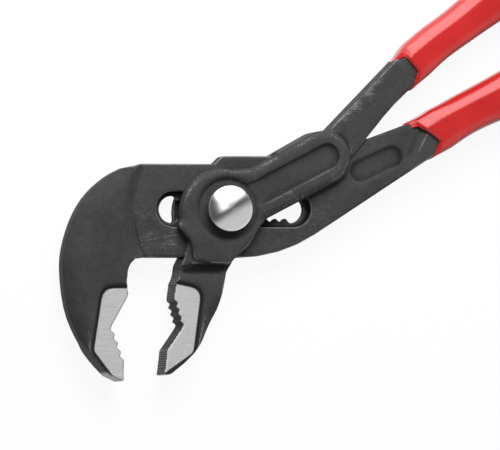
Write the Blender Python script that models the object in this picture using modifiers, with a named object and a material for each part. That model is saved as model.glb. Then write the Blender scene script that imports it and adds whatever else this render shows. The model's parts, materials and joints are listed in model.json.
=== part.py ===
"""Push-button water pump pliers: two forged levers on a sliding, locking pivot.

All lengths are metres. The tool is drawn with its pivot axis at the origin and its mid plane at z = 0:
+X runs along the slot towards the handles, +Y away from the jaw tips, and +Z out of the button.
A root empty then sets the finished tool down on z = 0, centred on its box.
"""
import math

import bmesh
import bpy
import numpy as np
from mathutils import Matrix, Vector

# Levels of thickness, each measured from the mid plane
PLATE_HALF = 0.0030          # slotted arm and lower lever
JAW_HALF = 0.0056            # both jaws
TANG_HALF = 0.0045           # neck of the fork and both handle tangs
CHEEK_THICK = 0.0039         # each cheek of the fork
RUN_GAP = 0.0003             # clearance between pieces that run on each other

# Slotted arm
ARM_HALF_WIDTH = 0.0137      # above the slot's middle line
ARM_LOWER_HALF = 0.0146      # below it
STEP_RISE = 0.0024           # the arm is taller behind the joint
STEP_X = -0.0021             # middle of that step
PLATE_ROUND = 0.0006         # rounded edges of the plate
LOWER_BEND = 0.0440          # radius where the arm turns into the lower lever
LOWER_START_X = 0.0172       # where that turn has its corner
UPPER_EDGE = [(0.0200, 0.0162), (0.0443, 0.0211)]
UPPER_BEND = 0.0300          # radius of the turns in that edge
STEP_FILLET = 0.0015
PLATE_ROOT = [(-0.0262, ARM_HALF_WIDTH), (-0.0300, 0.0060), (-0.0300, -0.0080), (-0.0276, -ARM_LOWER_HALF)]

# Slot: a wide front channel and a toothed ledge behind it
SLOT_LEFT = -0.0215
SLOT_RIGHT = 0.0269
SLOT_HALF = 0.0054
LEDGE_INSET = 0.0017         # at both ends of the slot
LEDGE_THICK = 0.0026
TOOTH_PITCH = 0.0030
NOTCH_HALF = 0.0041          # half height of the slot at the bottom of a notch
BUMP_HALF = 0.0027           # half height of the slot at the crest of a tooth
CREST_SHARE = 0.15           # flat of a crest each side of its middle, as a share of the pitch
SLIDE_CLOSE = 4              # steps from the drawn setting to the closest one
SLIDE_OPEN = 2               # steps from the drawn setting to the widest one
HINGE_OPEN = 20.0            # degrees that the jaws open at any setting

# Large jaw
JAW_ROUND = 0.0010
JAW_BACK = [(-0.0312, 0.0125), (-0.0366, 0.0098), (-0.0423, 0.0049), (-0.0464, -0.0011), (-0.0494, -0.0089),
            (-0.0507, -0.0174), (-0.0494, -0.0296), (-0.0459, -0.0387), (-0.0412, -0.0455), (-0.0370, -0.0501)]
JAW_TIP = (-0.0330, -0.0520)
JAW_STEP_CENTRE = (-0.0012, -0.0015)
JAW_STEP_SPARE = 0.0028      # between the thick jaw and the boss at the closest setting
JAW_SINK = 0.0040            # how far the jaw's blank reaches below the arm
THROAT = [(-0.0283, -0.0148), (-0.0302, -0.0165), (-0.0310, -0.0185), (-0.0313, -0.0215)]
LARGE_HEEL = (-0.0308, -0.0253)
LARGE_FLANK = (-0.0311, -0.0266)
LARGE_VEE = (-0.0360, -0.0351)
LARGE_NOSE = (-0.0322, -0.0456)
LARGE_END = (-0.0324, -0.0510)
LARGE_FLAT = [(-0.0387, -0.0239, 0.0026), (-0.0418, -0.0428, 0.0008), (-0.0337, -0.0533, 0.0)]

# Small jaw
SMALL_BACK = [(-0.0179, -0.0501), (-0.0135, -0.0466), (-0.0104, -0.0436), (-0.0075, -0.0397),
              (-0.0053, -0.0351), (-0.0031, -0.0306), (-0.0015, -0.0255), (-0.0002, -0.0191), (0.0025, -0.0145)]
SMALL_ROOT = 0.0050          # how far the jaw's blank reaches up into the head
SMALL_THROAT = [(-0.0130, -0.0140), (-0.0147, -0.0174), (-0.0152, -0.0210), (-0.0163, -0.0229)]
SMALL_HEEL = (-0.0169, -0.0276)
SMALL_VEE = (-0.0145, -0.0361)
SMALL_NOSE = (-0.0192, -0.0428)
SMALL_END = (-0.0200, -0.0492)
SMALL_FLAT = [(-0.0081, -0.0243, 0.0024), (-0.01075, -0.0434, 0.0010), (-0.0220, -0.0512, 0.0)]

# Teeth and ground flats of both jaws
COARSE_TEETH = 4
COARSE_DEPTH = 0.0010
FINE_PITCH = 0.00070
FINE_DEPTH = 0.00030
FLAT_DEPTH = 0.0008
BLANK_SPARE = 0.0016         # forged stock that the tooth cut takes off
BLANK_FILLET = 0.0013        # corners of the forged stock
FLAT_SPARE = 0.0040          # how far a ground flat runs out past the teeth
FLAT_ABOVE_HEEL = 0.0020     # top of the small jaw's flat over its fine teeth

# Head of the fork: boss, skirt and raised arm
HEAD_ROUND = 0.0009
BOSS_CENTRE = (-0.0016, -0.0010)
BOSS_RADIUS = 0.0132
BOSS_SPAN = (75, 190)        # degrees of its outline that stay round
RAISED_ANGLE = 27.1
RAISED_UPPER_START = 0.0125  # where the raised arm's edges leave the boss
RAISED_LOWER_START = 0.0087
RAISED_FILLET = 0.0040
RAISED_HALF_WIDTH = 0.0082
RAISED_TAPER = 0.0007        # its upper edge comes in by this much towards the boss
RAISED_REACH = 0.0424
PANEL_HALF_WIDTH = 0.0039
PANEL_REACH = 0.0388
PANEL_DEPTH = 0.0010
SKIRT = [(0.0062, -0.0113, 0.004), (-0.0006, -0.0174, 0.0014), (-0.0108, -0.0156, 0.0014),
         (-0.0119, -0.0098, 0.004), (-0.0156, -0.0052, 0.003)]
RAMP_TOP_Y = -0.0166
RAMP_FOOT_Y = -0.0192
RAMP_ROOT = 0.0040           # how far the ramp reaches up into the head
RAMP_LEFT = -0.0110
RAMP_RIGHT = -0.0012
NECK_OUTER = (0.0330, 0.0248)
NECK_INNER = (0.0438, 0.0209)
NECK_WAIST = (0.0513, 0.0301)
NECK_ROOT = [(0.0240, 0.0150), (0.0360, 0.0120)]
NECK_FILLET = 0.0050
NECK_BEND = 0.0400
NECK_END_FILLET = 0.0010

# Handles: each tang and its grip follow one smooth line
UPPER_LINE = [(0.0500, 0.0355), (0.0572, 0.0424), (0.0665, 0.0500), (0.0764, 0.0572), (0.0965, 0.0728),
              (0.1180, 0.0896), (0.1390, 0.1050), (0.1575, 0.1170)]
LOWER_LINE = [(0.0560, 0.0178), (0.0655, 0.0230), (0.0783, 0.0302), (0.1010, 0.0406), (0.1260, 0.0517),
              (0.1500, 0.0640), (0.1680, 0.0755)]
UPPER_MOUTH = 0.0105         # along the line, from its first point to the grip's mouth
LOWER_MOUTH = 0.0095
UPPER_TANG_HALF_WIDTH = 0.0040
LOWER_TANG_HALF_WIDTH = 0.0048
NECK_END_HALF_WIDTH = 0.0048
LOWER_END_HALF_WIDTH = 0.0058
GRIP_WALL = 0.0014           # rubber over the tang at the mouth
GRIP_SWELL = 0.0036          # how much wider each side is in the palm
GRIP_PALM_HALF = 0.0072      # half thickness in the palm
GRIP_TIP = 0.0060            # rubber past the end of the tang
GRIP_SQUARENESS = 2.5        # powers of the superellipses: 2 is round, and more is squarer
TANG_SQUARENESS = 5.0
SWELL_START = 0.12           # where the swell starts and how long it grows, as shares of the grip
SWELL_SPAN = 0.42
LIP_RISE = 0.03              # thicker lip at the mouth: its height, place and spread as shares
LIP_PLACE = 0.03
LIP_SPREAD = 0.02
LIP_EDGE = 0.94
END_FILLET = 0.0008          # corners of a lever at the mouth

# Lower lever's shallow panel
PLATE_PANEL_START = (0.0425, 0.0115)
PLATE_PANEL_END = (0.0525, 0.0160)
PLATE_PANEL_HALF_WIDTH = 0.0034
PLATE_PANEL_DEPTH = 0.0008

# Button, bolt and spring
SPRING_RADIUS = 0.0037       # middle of the wire
WIRE_RADIUS = 0.0004
SPRING_TURNS = 3.5
SLEEVE_WALL = 0.0009
BUTTON_RADIUS = 0.0070
BUTTON_MOAT = 0.0023         # ring of the counterbore round the button
BUTTON_RIM = 0.0009
BUTTON_DOME = 0.0022
BUTTON_EDGE = 0.0006         # soft edge between rim and dome
COUNTERBORE_DEPTH = 0.0016
FLANGE_THICK = 0.0007
FLANGE_LIP = 0.0003          # flange past the toothed block
SEAT_THICK = 0.0008
SHANK_GRIP = 0.0012          # depth of the shank in the button

# Fineness of the round shapes
ARC_STEP = 10.0
ROUND_STEPS = 1
TURN_STEPS = 36
TANG_ROWS = 14               # sections along a tang or a grip, and points round each of them
TANG_SIDES = 16
GRIP_ROWS = 30
GRIP_SIDES = 20
WELD = 1e-6
SKIN = 0.0001                # keeps two faces from lying in one plane
CUT_PAST = 0.0020            # how far a cutter reaches past the surface
TOOTH_CUT_REACH = 0.0080
FLAT_ANGLE = 1e-4            # faces closer than this, in radians, make one flat face

# Levels and radii that follow from the sizes above
HEAD_HALF = PLATE_HALF + RUN_GAP + CHEEK_THICK
LEDGE_TOP = LEDGE_THICK - PLATE_HALF
JAW_STEP_RADIUS = BOSS_RADIUS + SLIDE_CLOSE * TOOTH_PITCH + JAW_STEP_SPARE
PRESS_TRAVEL = LEDGE_THICK + RUN_GAP
FLANGE_TOP = -PLATE_HALF - RUN_GAP
SHANK_RADIUS = BUMP_HALF - 1.5 * RUN_GAP
SLEEVE_BORE = SPRING_RADIUS + WIRE_RADIUS + RUN_GAP
SLEEVE_RADIUS = SLEEVE_BORE + SLEEVE_WALL
COUNTERBORE_FLOOR = HEAD_HALF - COUNTERBORE_DEPTH
BUTTON_UNDER = COUNTERBORE_FLOOR + PRESS_TRAVEL + RUN_GAP
SEAT_BOTTOM = LEDGE_TOP + RUN_GAP
SEAT_TOP = SEAT_BOTTOM + SEAT_THICK

model = None
cutters = None


def arc(centre, radius, start, end):
    """Points on a circle from one angle to another, both in degrees."""
    count = max(2, math.ceil(abs(end - start) / ARC_STEP) + 1)
    angles = np.radians(np.linspace(start, end, count))
    return [(centre[0] + radius * math.cos(a), centre[1] + radius * math.sin(a)) for a in angles]


def sharp(points):
    """Corners without a fillet."""
    return [(x, y, 0.0) for x, y in points]


def fillet(corners):
    """Closed outline through (x, y, radius) corners, with an arc at each corner that has a radius."""
    outline = []
    for index, (x, y, radius) in enumerate(corners):
        corner = Vector((x, y))
        before = Vector(corners[index - 1][:2]) - corner
        after = Vector(corners[(index + 1) % len(corners)][:2]) - corner
        half = before.angle(after) / 2
        if radius == 0.0 or half > math.radians(89):
            outline.append((x, y))
            continue
        reach = min(radius / math.tan(half), 0.48 * before.length, 0.48 * after.length)
        radius = reach * math.tan(half)
        centre = corner + (before.normalized() + after.normalized()).normalized() * radius / math.sin(half)
        start = corner + before.normalized() * reach - centre
        turn = 180 - 2 * math.degrees(half)
        if before.cross(after) > 0:
            turn = -turn
        angle = math.degrees(math.atan2(start.y, start.x))
        outline.extend(arc(centre, radius, angle, angle + turn))
    return outline


def smooth_line(points, per_span):
    """Points on a smooth curve that passes through every given point."""
    points = np.array(points)
    knots = np.vstack([2 * points[0] - points[1], points, 2 * points[-1] - points[-2]])
    runs = []
    for a, b, c, d in zip(knots, knots[1:], knots[2:], knots[3:]):
        t = np.linspace(0, 1, per_span, endpoint=False)[:, None]
        runs.append(b + 0.5 * t * (c - a + t * (2 * a - 5 * b + 4 * c - d + t * (3 * (b - c) + d - a))))
    runs.append(knots[-2:-1])
    return np.vstack(runs)


def toothed(start, end, count, depth):
    """Saw edge from start to end; the notches lie to the left of that direction by the depth."""
    start, end = np.array(start), np.array(end)
    along = (end - start) / count
    left = np.array([-along[1], along[0]]) / np.linalg.norm(along)
    points = []
    for index in range(count):
        points.append(start + index * along)
        points.append(start + (index + 0.5) * along + depth * left)
    points.append(end)
    return [tuple(p) for p in points]


def fine_count(start, end):
    """How many fine teeth fit between two points."""
    return max(1, round(math.dist(start, end) / FINE_PITCH))


def add_object(name, mesh, collection):
    shape = bpy.data.objects.new(name, mesh)
    collection.objects.link(shape)
    if collection is cutters:
        shape.hide_render = True
        shape.display_type = "WIRE"
    return shape


def finish_mesh(bm, name, collection):
    """Turns a bmesh into an object with welded points, whole flat faces and outward normals."""
    bmesh.ops.remove_doubles(bm, verts=bm.verts, dist=WELD)
    bmesh.ops.dissolve_limit(bm, angle_limit=FLAT_ANGLE, verts=bm.verts, edges=bm.edges)
    bmesh.ops.recalc_face_normals(bm, faces=bm.faces)
    mesh = bpy.data.meshes.new(name)
    bm.to_mesh(mesh)
    bm.free()
    return add_object(name, mesh, collection)


def curve_to_mesh(curve, name, collection, move=Matrix()):
    """Makes a curve a closed mesh, moved to its place."""
    shape = bpy.data.objects.new(name, curve)
    bpy.context.scene.collection.objects.link(shape)
    graph = bpy.context.evaluated_depsgraph_get()
    mesh = bpy.data.meshes.new_from_object(shape.evaluated_get(graph))
    bpy.data.objects.remove(shape)
    bpy.data.curves.remove(curve)
    mesh.transform(move)
    bm = bmesh.new()
    bm.from_mesh(mesh)
    bpy.data.meshes.remove(mesh)
    return finish_mesh(bm, name, collection)


def prism(name, outline, low, high, rounding=0.0, collection=None, turn=Matrix()):
    """Flat outline with a thickness from low to high, and rounded edges."""
    curve = bpy.data.curves.new(name, "CURVE")
    curve.dimensions = "2D"
    curve.fill_mode = "BOTH"
    curve.extrude = (high - low) / 2 - rounding
    curve.bevel_depth = rounding
    curve.bevel_resolution = ROUND_STEPS
    curve.offset = -rounding
    spline = curve.splines.new("POLY")
    spline.points.add(len(outline) - 1)
    for point, (x, y) in zip(spline.points, outline):
        point.co = (x, y, 0, 1)
    spline.use_cyclic_u = True
    place = turn @ Matrix.Translation((0, 0, (low + high) / 2))
    return curve_to_mesh(curve, name, collection or cutters, place)


def cylinder(name, radius, low, high):
    """Round cutter on the pivot axis."""
    bm = bmesh.new()
    place = Matrix.Translation((0, 0, (low + high) / 2))
    bmesh.ops.create_cone(bm, cap_ends=True, segments=TURN_STEPS, radius1=radius, radius2=radius,
                          depth=high - low, matrix=place)
    return finish_mesh(bm, name, cutters)


def turned(name, profile, closed, collection):
    """Profile of (radius, z) points, turned round the pivot axis."""
    mesh = bpy.data.meshes.new(name)
    edges = [(i, i + 1) for i in range(len(profile) - 1)]
    if closed:
        edges.append((len(profile) - 1, 0))
    mesh.from_pydata([(r, 0, z) for r, z in profile], edges, [])
    shape = add_object(name, mesh, collection)
    screw = shape.modifiers.new("turn", "SCREW")
    screw.steps = screw.render_steps = TURN_STEPS
    screw.use_merge_vertices = True
    screw.merge_threshold = WELD
    screw.use_smooth_shade = False
    return shape


def swept(name, line, half_widths, half_heights, squareness, sides, collection):
    """Loft along a line in the mid plane; each section is a rounded box of its own width and height."""
    tangents = np.gradient(line, axis=0)
    tangents /= np.linalg.norm(tangents, axis=1)[:, None]
    angles = 2 * math.pi * (np.arange(sides) + 0.5) / sides
    across = np.sign(np.cos(angles)) * np.abs(np.cos(angles)) ** (2 / squareness)
    up = np.sign(np.sin(angles)) * np.abs(np.sin(angles)) ** (2 / squareness)
    bm = bmesh.new()
    rings = []
    for (x, y), (tx, ty), wide, high in zip(line, tangents, half_widths, half_heights):
        ring = [(x - ty * wide * a, y + tx * wide * a, high * u) for a, u in zip(across, up)]
        rings.append([bm.verts.new(place) for place in ring])
    for ring, following in zip(rings, rings[1:]):
        for i in range(sides):
            j = (i + 1) % sides
            bm.faces.new((ring[i], ring[j], following[j], following[i]))
    bm.faces.new(rings[0])
    bm.faces.new(rings[-1])
    return finish_mesh(bm, name, collection)


def boolean(target, other, operation):
    step = target.modifiers.new(f"{operation.lower()}_{other.name}", "BOOLEAN")
    step.operation = operation
    step.object = other
    step.solver = "EXACT"


def join(target, *others):
    for other in others:
        boolean(target, other, "UNION")


def cut(target, *others):
    for other in others:
        boolean(target, other, "DIFFERENCE")


def material(name, colour, roughness, metallic):
    paint = bpy.data.materials.new(name)
    paint.use_nodes = True
    shader = paint.node_tree.nodes["Principled BSDF"]
    shader.inputs["Base Color"].default_value = (*colour, 1)
    shader.inputs["Roughness"].default_value = roughness
    shader.inputs["Metallic"].default_value = metallic
    paint.diffuse_color = (*colour, 1)
    return paint


def along(line, start, end, count):
    """Evenly spaced points on a smooth line between two distances from its first point."""
    dense = smooth_line(line, 24)
    reach = np.concatenate([[0], np.cumsum(np.linalg.norm(np.diff(dense, axis=0), axis=1))])
    wanted = np.linspace(start, end, count)
    return np.stack([np.interp(wanted, reach, dense[:, k]) for k in (0, 1)], axis=1)


def line_length(line):
    return float(np.sum(np.linalg.norm(np.diff(smooth_line(line, 24), axis=0), axis=1)))


def mouth_corners(line, mouth, half_width):
    """Upper and lower corner of a lever where it meets the grip's mouth, square to the line."""
    back, point = along(line, mouth - 2 * RUN_GAP, mouth - RUN_GAP, 2)
    direction = (point - back) / np.linalg.norm(point - back)
    side = np.array([-direction[1], direction[0]])
    return tuple(point + half_width * side), tuple(point - half_width * side)


def plate_outline():
    """Slotted arm and lower lever; its first end lies inside the jaw."""
    upper, lower = mouth_corners(LOWER_LINE, LOWER_MOUTH, LOWER_END_HALF_WIDTH)
    step_half = STEP_RISE / 2
    return fillet([
        *sharp(PLATE_ROOT),
        (LOWER_START_X, -ARM_LOWER_HALF, LOWER_BEND),
        (*lower, END_FILLET),
        (*upper, END_FILLET),
        (*UPPER_EDGE[1], UPPER_BEND),
        (*UPPER_EDGE[0], UPPER_BEND),
        (STEP_X + step_half, ARM_HALF_WIDTH + STEP_RISE, STEP_FILLET),
        (STEP_X - step_half, ARM_HALF_WIDTH, STEP_FILLET),
    ])


def slot_outline():
    """Wide front channel: a stadium."""
    left = (SLOT_LEFT + SLOT_HALF, 0.0)
    right = (SLOT_RIGHT - SLOT_HALF, 0.0)
    return arc(left, SLOT_HALF, 90, 270) + arc(right, SLOT_HALF, -90, 90)


def ledge_outline():
    """Toothed opening behind the channel; its notches lie on whole steps from the pivot."""
    left, right = SLOT_LEFT + LEDGE_INSET, SLOT_RIGHT - LEDGE_INSET
    end_half = NOTCH_HALF
    first = math.ceil((left + end_half) / TOOTH_PITCH)
    last = math.floor((right - end_half) / TOOTH_PITCH)
    lower = []
    for step in range(first, last + 1):
        lower.append((step * TOOTH_PITCH, -NOTCH_HALF))
        if step < last:
            crest = (step + 0.5) * TOOTH_PITCH
            flat = CREST_SHARE * TOOTH_PITCH
            lower.extend([(crest - flat, -BUMP_HALF), (crest + flat, -BUMP_HALF)])
    left_end = arc((left + end_half, 0.0), end_half, 95, 265)
    right_end = arc((right - end_half, 0.0), end_half, -85, 85)
    return left_end + lower + right_end + [(x, -y) for x, y in reversed(lower)]


def large_jaw():
    """Hooked jaw with its toothed edge cut into a forged blank."""
    cx, cy = JAW_STEP_CENTRE
    crown = ARM_HALF_WIDTH + SKIN
    foot = -ARM_LOWER_HALF - JAW_SINK
    top = 180 - math.degrees(math.asin((crown - cy) / JAW_STEP_RADIUS))
    bottom = 180 - math.degrees(math.asin((foot - cy) / JAW_STEP_RADIUS))
    step = arc(JAW_STEP_CENTRE, JAW_STEP_RADIUS, bottom, top)
    back = smooth_line(JAW_BACK, 3)
    corners = [(*step[0], BLANK_FILLET), *sharp(step[1:-1]), (*step[-1], BLANK_FILLET), *sharp(back)]
    corners.append((*JAW_TIP, 0.0))
    for x, y in (LARGE_END, LARGE_NOSE, LARGE_VEE, LARGE_FLANK):
        corners.append((x + BLANK_SPARE, y, 0.0))
    corners[-4] = (LARGE_END[0] + BLANK_SPARE, JAW_TIP[1], BLANK_FILLET)
    corners.append((THROAT[0][0] + BLANK_SPARE / 4, foot, 0.0))
    jaw = prism("large_jaw_blank", fillet(corners), -JAW_HALF, JAW_HALF, JAW_ROUND)
    edge = list(THROAT)
    edge += toothed(THROAT[-1], LARGE_HEEL, fine_count(THROAT[-1], LARGE_HEEL), -FINE_DEPTH)[1:]
    edge += [LARGE_FLANK]
    edge += toothed(LARGE_VEE, LARGE_NOSE, COARSE_TEETH, -COARSE_DEPTH)
    edge += toothed(LARGE_NOSE, LARGE_END, fine_count(LARGE_NOSE, LARGE_END), -FINE_DEPTH)[1:]
    far, below = THROAT[0][0] + TOOTH_CUT_REACH, JAW_TIP[1] - CUT_PAST
    edge += [(LARGE_END[0], below), (far, below), (far, THROAT[0][1])]
    cut(jaw, prism("large_teeth_cut", edge, -2 * JAW_HALF, 2 * JAW_HALF))
    return jaw


def small_jaw():
    """Straight-backed jaw of the fork, with its toothed edge cut into a forged blank."""
    head_y = -ARM_LOWER_HALF + SMALL_ROOT
    left = [(SMALL_END[0] - BLANK_SPARE, SMALL_BACK[0][1])]
    corners = [(*left[0], BLANK_FILLET), (*SMALL_BACK[0], BLANK_FILLET), *sharp(SMALL_BACK[1:])]
    corners += [(x + BLANK_SPARE / 2, head_y, 0.0) for x in (SMALL_BACK[-1][0], SMALL_THROAT[0][0])]
    corners.append((SMALL_THROAT[0][0] - BLANK_SPARE / 4, SMALL_THROAT[0][1], 0.0))
    for x, y in (SMALL_THROAT[-1], SMALL_HEEL, SMALL_NOSE):
        corners.append((x - BLANK_SPARE, y, 0.0))
    jaw = prism("small_jaw_blank", fillet(corners), -JAW_HALF, JAW_HALF, JAW_ROUND)
    edge = list(SMALL_THROAT)
    edge += toothed(SMALL_THROAT[-1], SMALL_HEEL, fine_count(SMALL_THROAT[-1], SMALL_HEEL), FINE_DEPTH)[1:]
    edge += toothed(SMALL_HEEL, SMALL_VEE, COARSE_TEETH, COARSE_DEPTH)[1:]
    edge += toothed(SMALL_NOSE, SMALL_END, fine_count(SMALL_NOSE, SMALL_END), FINE_DEPTH)
    far, below = SMALL_END[0] - TOOTH_CUT_REACH, SMALL_BACK[0][1] - CUT_PAST
    edge += [(SMALL_END[0], below), (far, below), (far, SMALL_THROAT[0][1])]
    cut(jaw, prism("small_teeth_cut", edge[::-1], -2 * JAW_HALF, 2 * JAW_HALF))
    return jaw


def grind_flats(lever, name, corners, spare_x, top_left, bottom_left):
    """Ground flats on both faces of a jaw, sunk a little into the forging."""
    outline = fillet([(spare_x, top_left, 0.0), *corners, (spare_x, bottom_left, 0.0)])
    for side in (1, -1):
        low, high = sorted((side * (JAW_HALF - FLAT_DEPTH), side * (JAW_HALF + CUT_PAST)))
        cut(lever, prism(f"{name}_{'front' if side > 0 else 'back'}", outline, low, high))


def tang(name, line, half_width, extra=0.0, start=0.0, collection=None):
    """Steel core of a handle, or the cavity for it when it is made larger by a clearance."""
    end = line_length(line) - GRIP_TIP + extra
    points = along(line, start, end, TANG_ROWS)
    wide = np.full(len(points), half_width + extra)
    high = np.full(len(points), TANG_HALF + extra)
    return swept(name, points, wide, high, TANG_SQUARENESS, TANG_SIDES, collection or cutters)


def grip(name, line, mouth, half_width):
    """Dipped grip: a lip at the mouth, a swell in the palm, a round end, and the tang's cavity."""
    end = line_length(line)
    points = along(line, mouth, end, GRIP_ROWS)
    share = np.linspace(0, 1, len(points))
    swell = np.clip((share - SWELL_START) / SWELL_SPAN, 0, 1)
    swell = swell * swell * (3 - 2 * swell)
    from_end = (end - mouth) * (1 - share)
    dome = half_width + GRIP_SWELL
    closing = np.sqrt(np.clip(1 - np.clip(1 - from_end / dome, 0, 0.995) ** 2, 0, 1))
    lip = 1 + LIP_RISE * np.exp(-((share - LIP_PLACE) / LIP_SPREAD) ** 2)
    lip[0] = LIP_EDGE
    wide = (half_width + GRIP_WALL + GRIP_SWELL * swell) * closing * lip
    start_high = TANG_HALF + GRIP_WALL
    high = (start_high + (GRIP_PALM_HALF - start_high) * swell) * closing * lip
    solid = swept(name, points, wide, high, GRIP_SQUARENESS, GRIP_SIDES, model)
    cavity = tang(f"{name}_cavity", line, half_width, RUN_GAP, mouth - CUT_PAST)
    cut(solid, cavity)
    return solid


def make_slotted_lever():
    lever = prism("slotted_lever", plate_outline(), -PLATE_HALF, PLATE_HALF, PLATE_ROUND, model)
    join(lever, large_jaw(), tang("lower_tang", LOWER_LINE, LOWER_TANG_HALF_WIDTH, start=LOWER_MOUTH / 2))
    cut(lever, prism("slot_channel", slot_outline(), LEDGE_TOP, 2 * PLATE_HALF))
    cut(lever, prism("slot_teeth", ledge_outline(), -2 * PLATE_HALF, LEDGE_TOP + PLATE_HALF / 2))
    flat_end = LARGE_FLANK[0] + FLAT_SPARE
    grind_flats(lever, "large_flat", LARGE_FLAT, flat_end, LARGE_FLAT[0][1], LARGE_FLAT[-1][1])
    direction = Vector(PLATE_PANEL_END) - Vector(PLATE_PANEL_START)
    angle = math.degrees(math.atan2(direction.y, direction.x))
    panel = arc(PLATE_PANEL_END, PLATE_PANEL_HALF_WIDTH, angle - 90, angle + 90)
    panel += arc(PLATE_PANEL_START, PLATE_PANEL_HALF_WIDTH, angle + 90, angle + 270)
    cut(lever, prism("plate_panel", panel, PLATE_HALF - PLATE_PANEL_DEPTH, 2 * PLATE_HALF))
    return lever


def head_outline():
    """Boss, skirt and raised arm of the fork's cheeks."""
    turn = math.radians(RAISED_ANGLE)
    direction = Vector((math.cos(turn), math.sin(turn)))
    side = Vector((-math.sin(turn), math.cos(turn)))
    end = direction * (RAISED_REACH - RAISED_HALF_WIDTH)
    cap = arc(end, RAISED_HALF_WIDTH, RAISED_ANGLE - 90, RAISED_ANGLE + 90)
    upper = direction * RAISED_UPPER_START + side * (RAISED_HALF_WIDTH - RAISED_TAPER)
    lower = direction * RAISED_LOWER_START - side * RAISED_HALF_WIDTH
    boss = arc(BOSS_CENTRE, BOSS_RADIUS, *BOSS_SPAN)
    return fillet([*sharp(cap), (*upper, RAISED_FILLET), *sharp(boss), *SKIRT[::-1], (*lower, RAISED_FILLET)])


def neck_outline():
    upper, lower = mouth_corners(UPPER_LINE, UPPER_MOUTH, NECK_END_HALF_WIDTH)
    return fillet([*sharp(NECK_ROOT), (*NECK_INNER, NECK_FILLET), (*NECK_WAIST, NECK_BEND),
                   (*lower, NECK_END_FILLET), (*upper, NECK_END_FILLET), (*NECK_OUTER, NECK_FILLET)])


def window_outline():
    """What the slotted arm sweeps inside the fork, from the closed to the open swing and at every setting."""
    swing = math.radians(HINGE_OPEN)
    edge = ARM_LOWER_HALF + RUN_GAP
    top = ARM_HALF_WIDTH + STEP_RISE + RUN_GAP
    bend_x = -edge * math.tan(swing / 2)
    far_left, far_right = -2 * edge, 6 * edge
    fall = (far_right - bend_x) * math.tan(swing)
    shift = SLIDE_OPEN * TOOTH_PITCH
    upper, lower = mouth_corners(LOWER_LINE, LOWER_MOUTH, LOWER_END_HALF_WIDTH)
    ridge = [(upper[0] - shift, upper[1] + RUN_GAP), *[(x - shift, y + RUN_GAP) for x, y in UPPER_EDGE[::-1]]]
    return [(far_left, -edge), (bend_x, -edge), (far_right, -edge - fall), (far_right, upper[1]), *ridge,
            (far_left, top)]


def make_fork_lever():
    lever = prism("fork_lever", head_outline(), -HEAD_HALF, HEAD_HALF, HEAD_ROUND, model)
    level = HEAD_HALF - HEAD_ROUND
    foot = JAW_HALF - RUN_GAP
    ramp_top = RAMP_TOP_Y + RAMP_ROOT
    ramp = [(ramp_top, -level), (ramp_top, level), (RAMP_TOP_Y, level), (RAMP_FOOT_Y, foot),
            (RAMP_FOOT_Y, -foot), (RAMP_TOP_Y, -level)]
    sideways = Matrix(((0, 0, 1, 0), (1, 0, 0, 0), (0, 1, 0, 0), (0, 0, 0, 1)))
    join(lever, small_jaw())
    join(lever, prism("jaw_ramp", ramp, RAMP_LEFT, RAMP_RIGHT, turn=sideways))
    join(lever, prism("fork_neck", neck_outline(), -TANG_HALF, TANG_HALF, HEAD_ROUND))
    join(lever, tang("upper_tang", UPPER_LINE, UPPER_TANG_HALF_WIDTH))
    half_gap = PLATE_HALF + RUN_GAP
    cut(lever, prism("arm_window", window_outline(), -half_gap, half_gap))
    cut(lever, cylinder("front_bore", SLEEVE_RADIUS + RUN_GAP, 0, 2 * HEAD_HALF))
    cut(lever, cylinder("counterbore", BUTTON_RADIUS + BUTTON_MOAT, COUNTERBORE_FLOOR, 2 * HEAD_HALF))
    cut(lever, cylinder("back_bore", flange_radius() + RUN_GAP, -2 * HEAD_HALF, 0))
    turn = Matrix.Rotation(math.radians(RAISED_ANGLE), 4, "Z")
    panel = arc((PANEL_REACH - PANEL_HALF_WIDTH, 0), PANEL_HALF_WIDTH, -90, 90)
    panel += [(0, PANEL_HALF_WIDTH), (0, -PANEL_HALF_WIDTH)]
    cut(lever, prism("arm_panel", panel, HEAD_HALF - PANEL_DEPTH, 2 * HEAD_HALF, turn=turn))
    flat_top = SMALL_THROAT[-1][1] + FLAT_ABOVE_HEEL
    grind_flats(lever, "small_flat", SMALL_FLAT, SMALL_END[0] - FLAT_SPARE, flat_top, SMALL_FLAT[-1][1])
    return lever


def block_outline():
    """Toothed block of the bolt: three teeth a side, a clearance inside the slot's own teeth."""
    tip, root = NOTCH_HALF - RUN_GAP, BUMP_HALF - RUN_GAP
    near, far = (0.5 - CREST_SHARE) * TOOTH_PITCH, (0.5 + CREST_SHARE) * TOOTH_PITCH
    half = [(0.0, tip), (near, root), (far, 0.96 * root), (TOOTH_PITCH, tip), (1.4 * TOOTH_PITCH, 0.85 * root)]
    right = [(x, -y) for x, y in half] + half[::-1]
    return right + [(-x, y) for x, y in reversed(right)][1:-1]


def flange_radius():
    return max(math.hypot(x, y) for x, y in block_outline()) + FLANGE_LIP


def make_joint_bolt():
    radius = flange_radius()
    bottom = FLANGE_TOP - FLANGE_THICK
    top = BUTTON_UNDER + SHANK_GRIP
    profile = [(0, top), (SHANK_RADIUS, top), (SHANK_RADIUS, FLANGE_TOP), (radius, FLANGE_TOP),
               (radius, bottom), (0, bottom)]
    bolt = turned("joint_bolt", profile, False, model)
    join(bolt, prism("bolt_teeth", block_outline(), FLANGE_TOP - FLANGE_THICK / 2, LEDGE_TOP))
    return bolt


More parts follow.
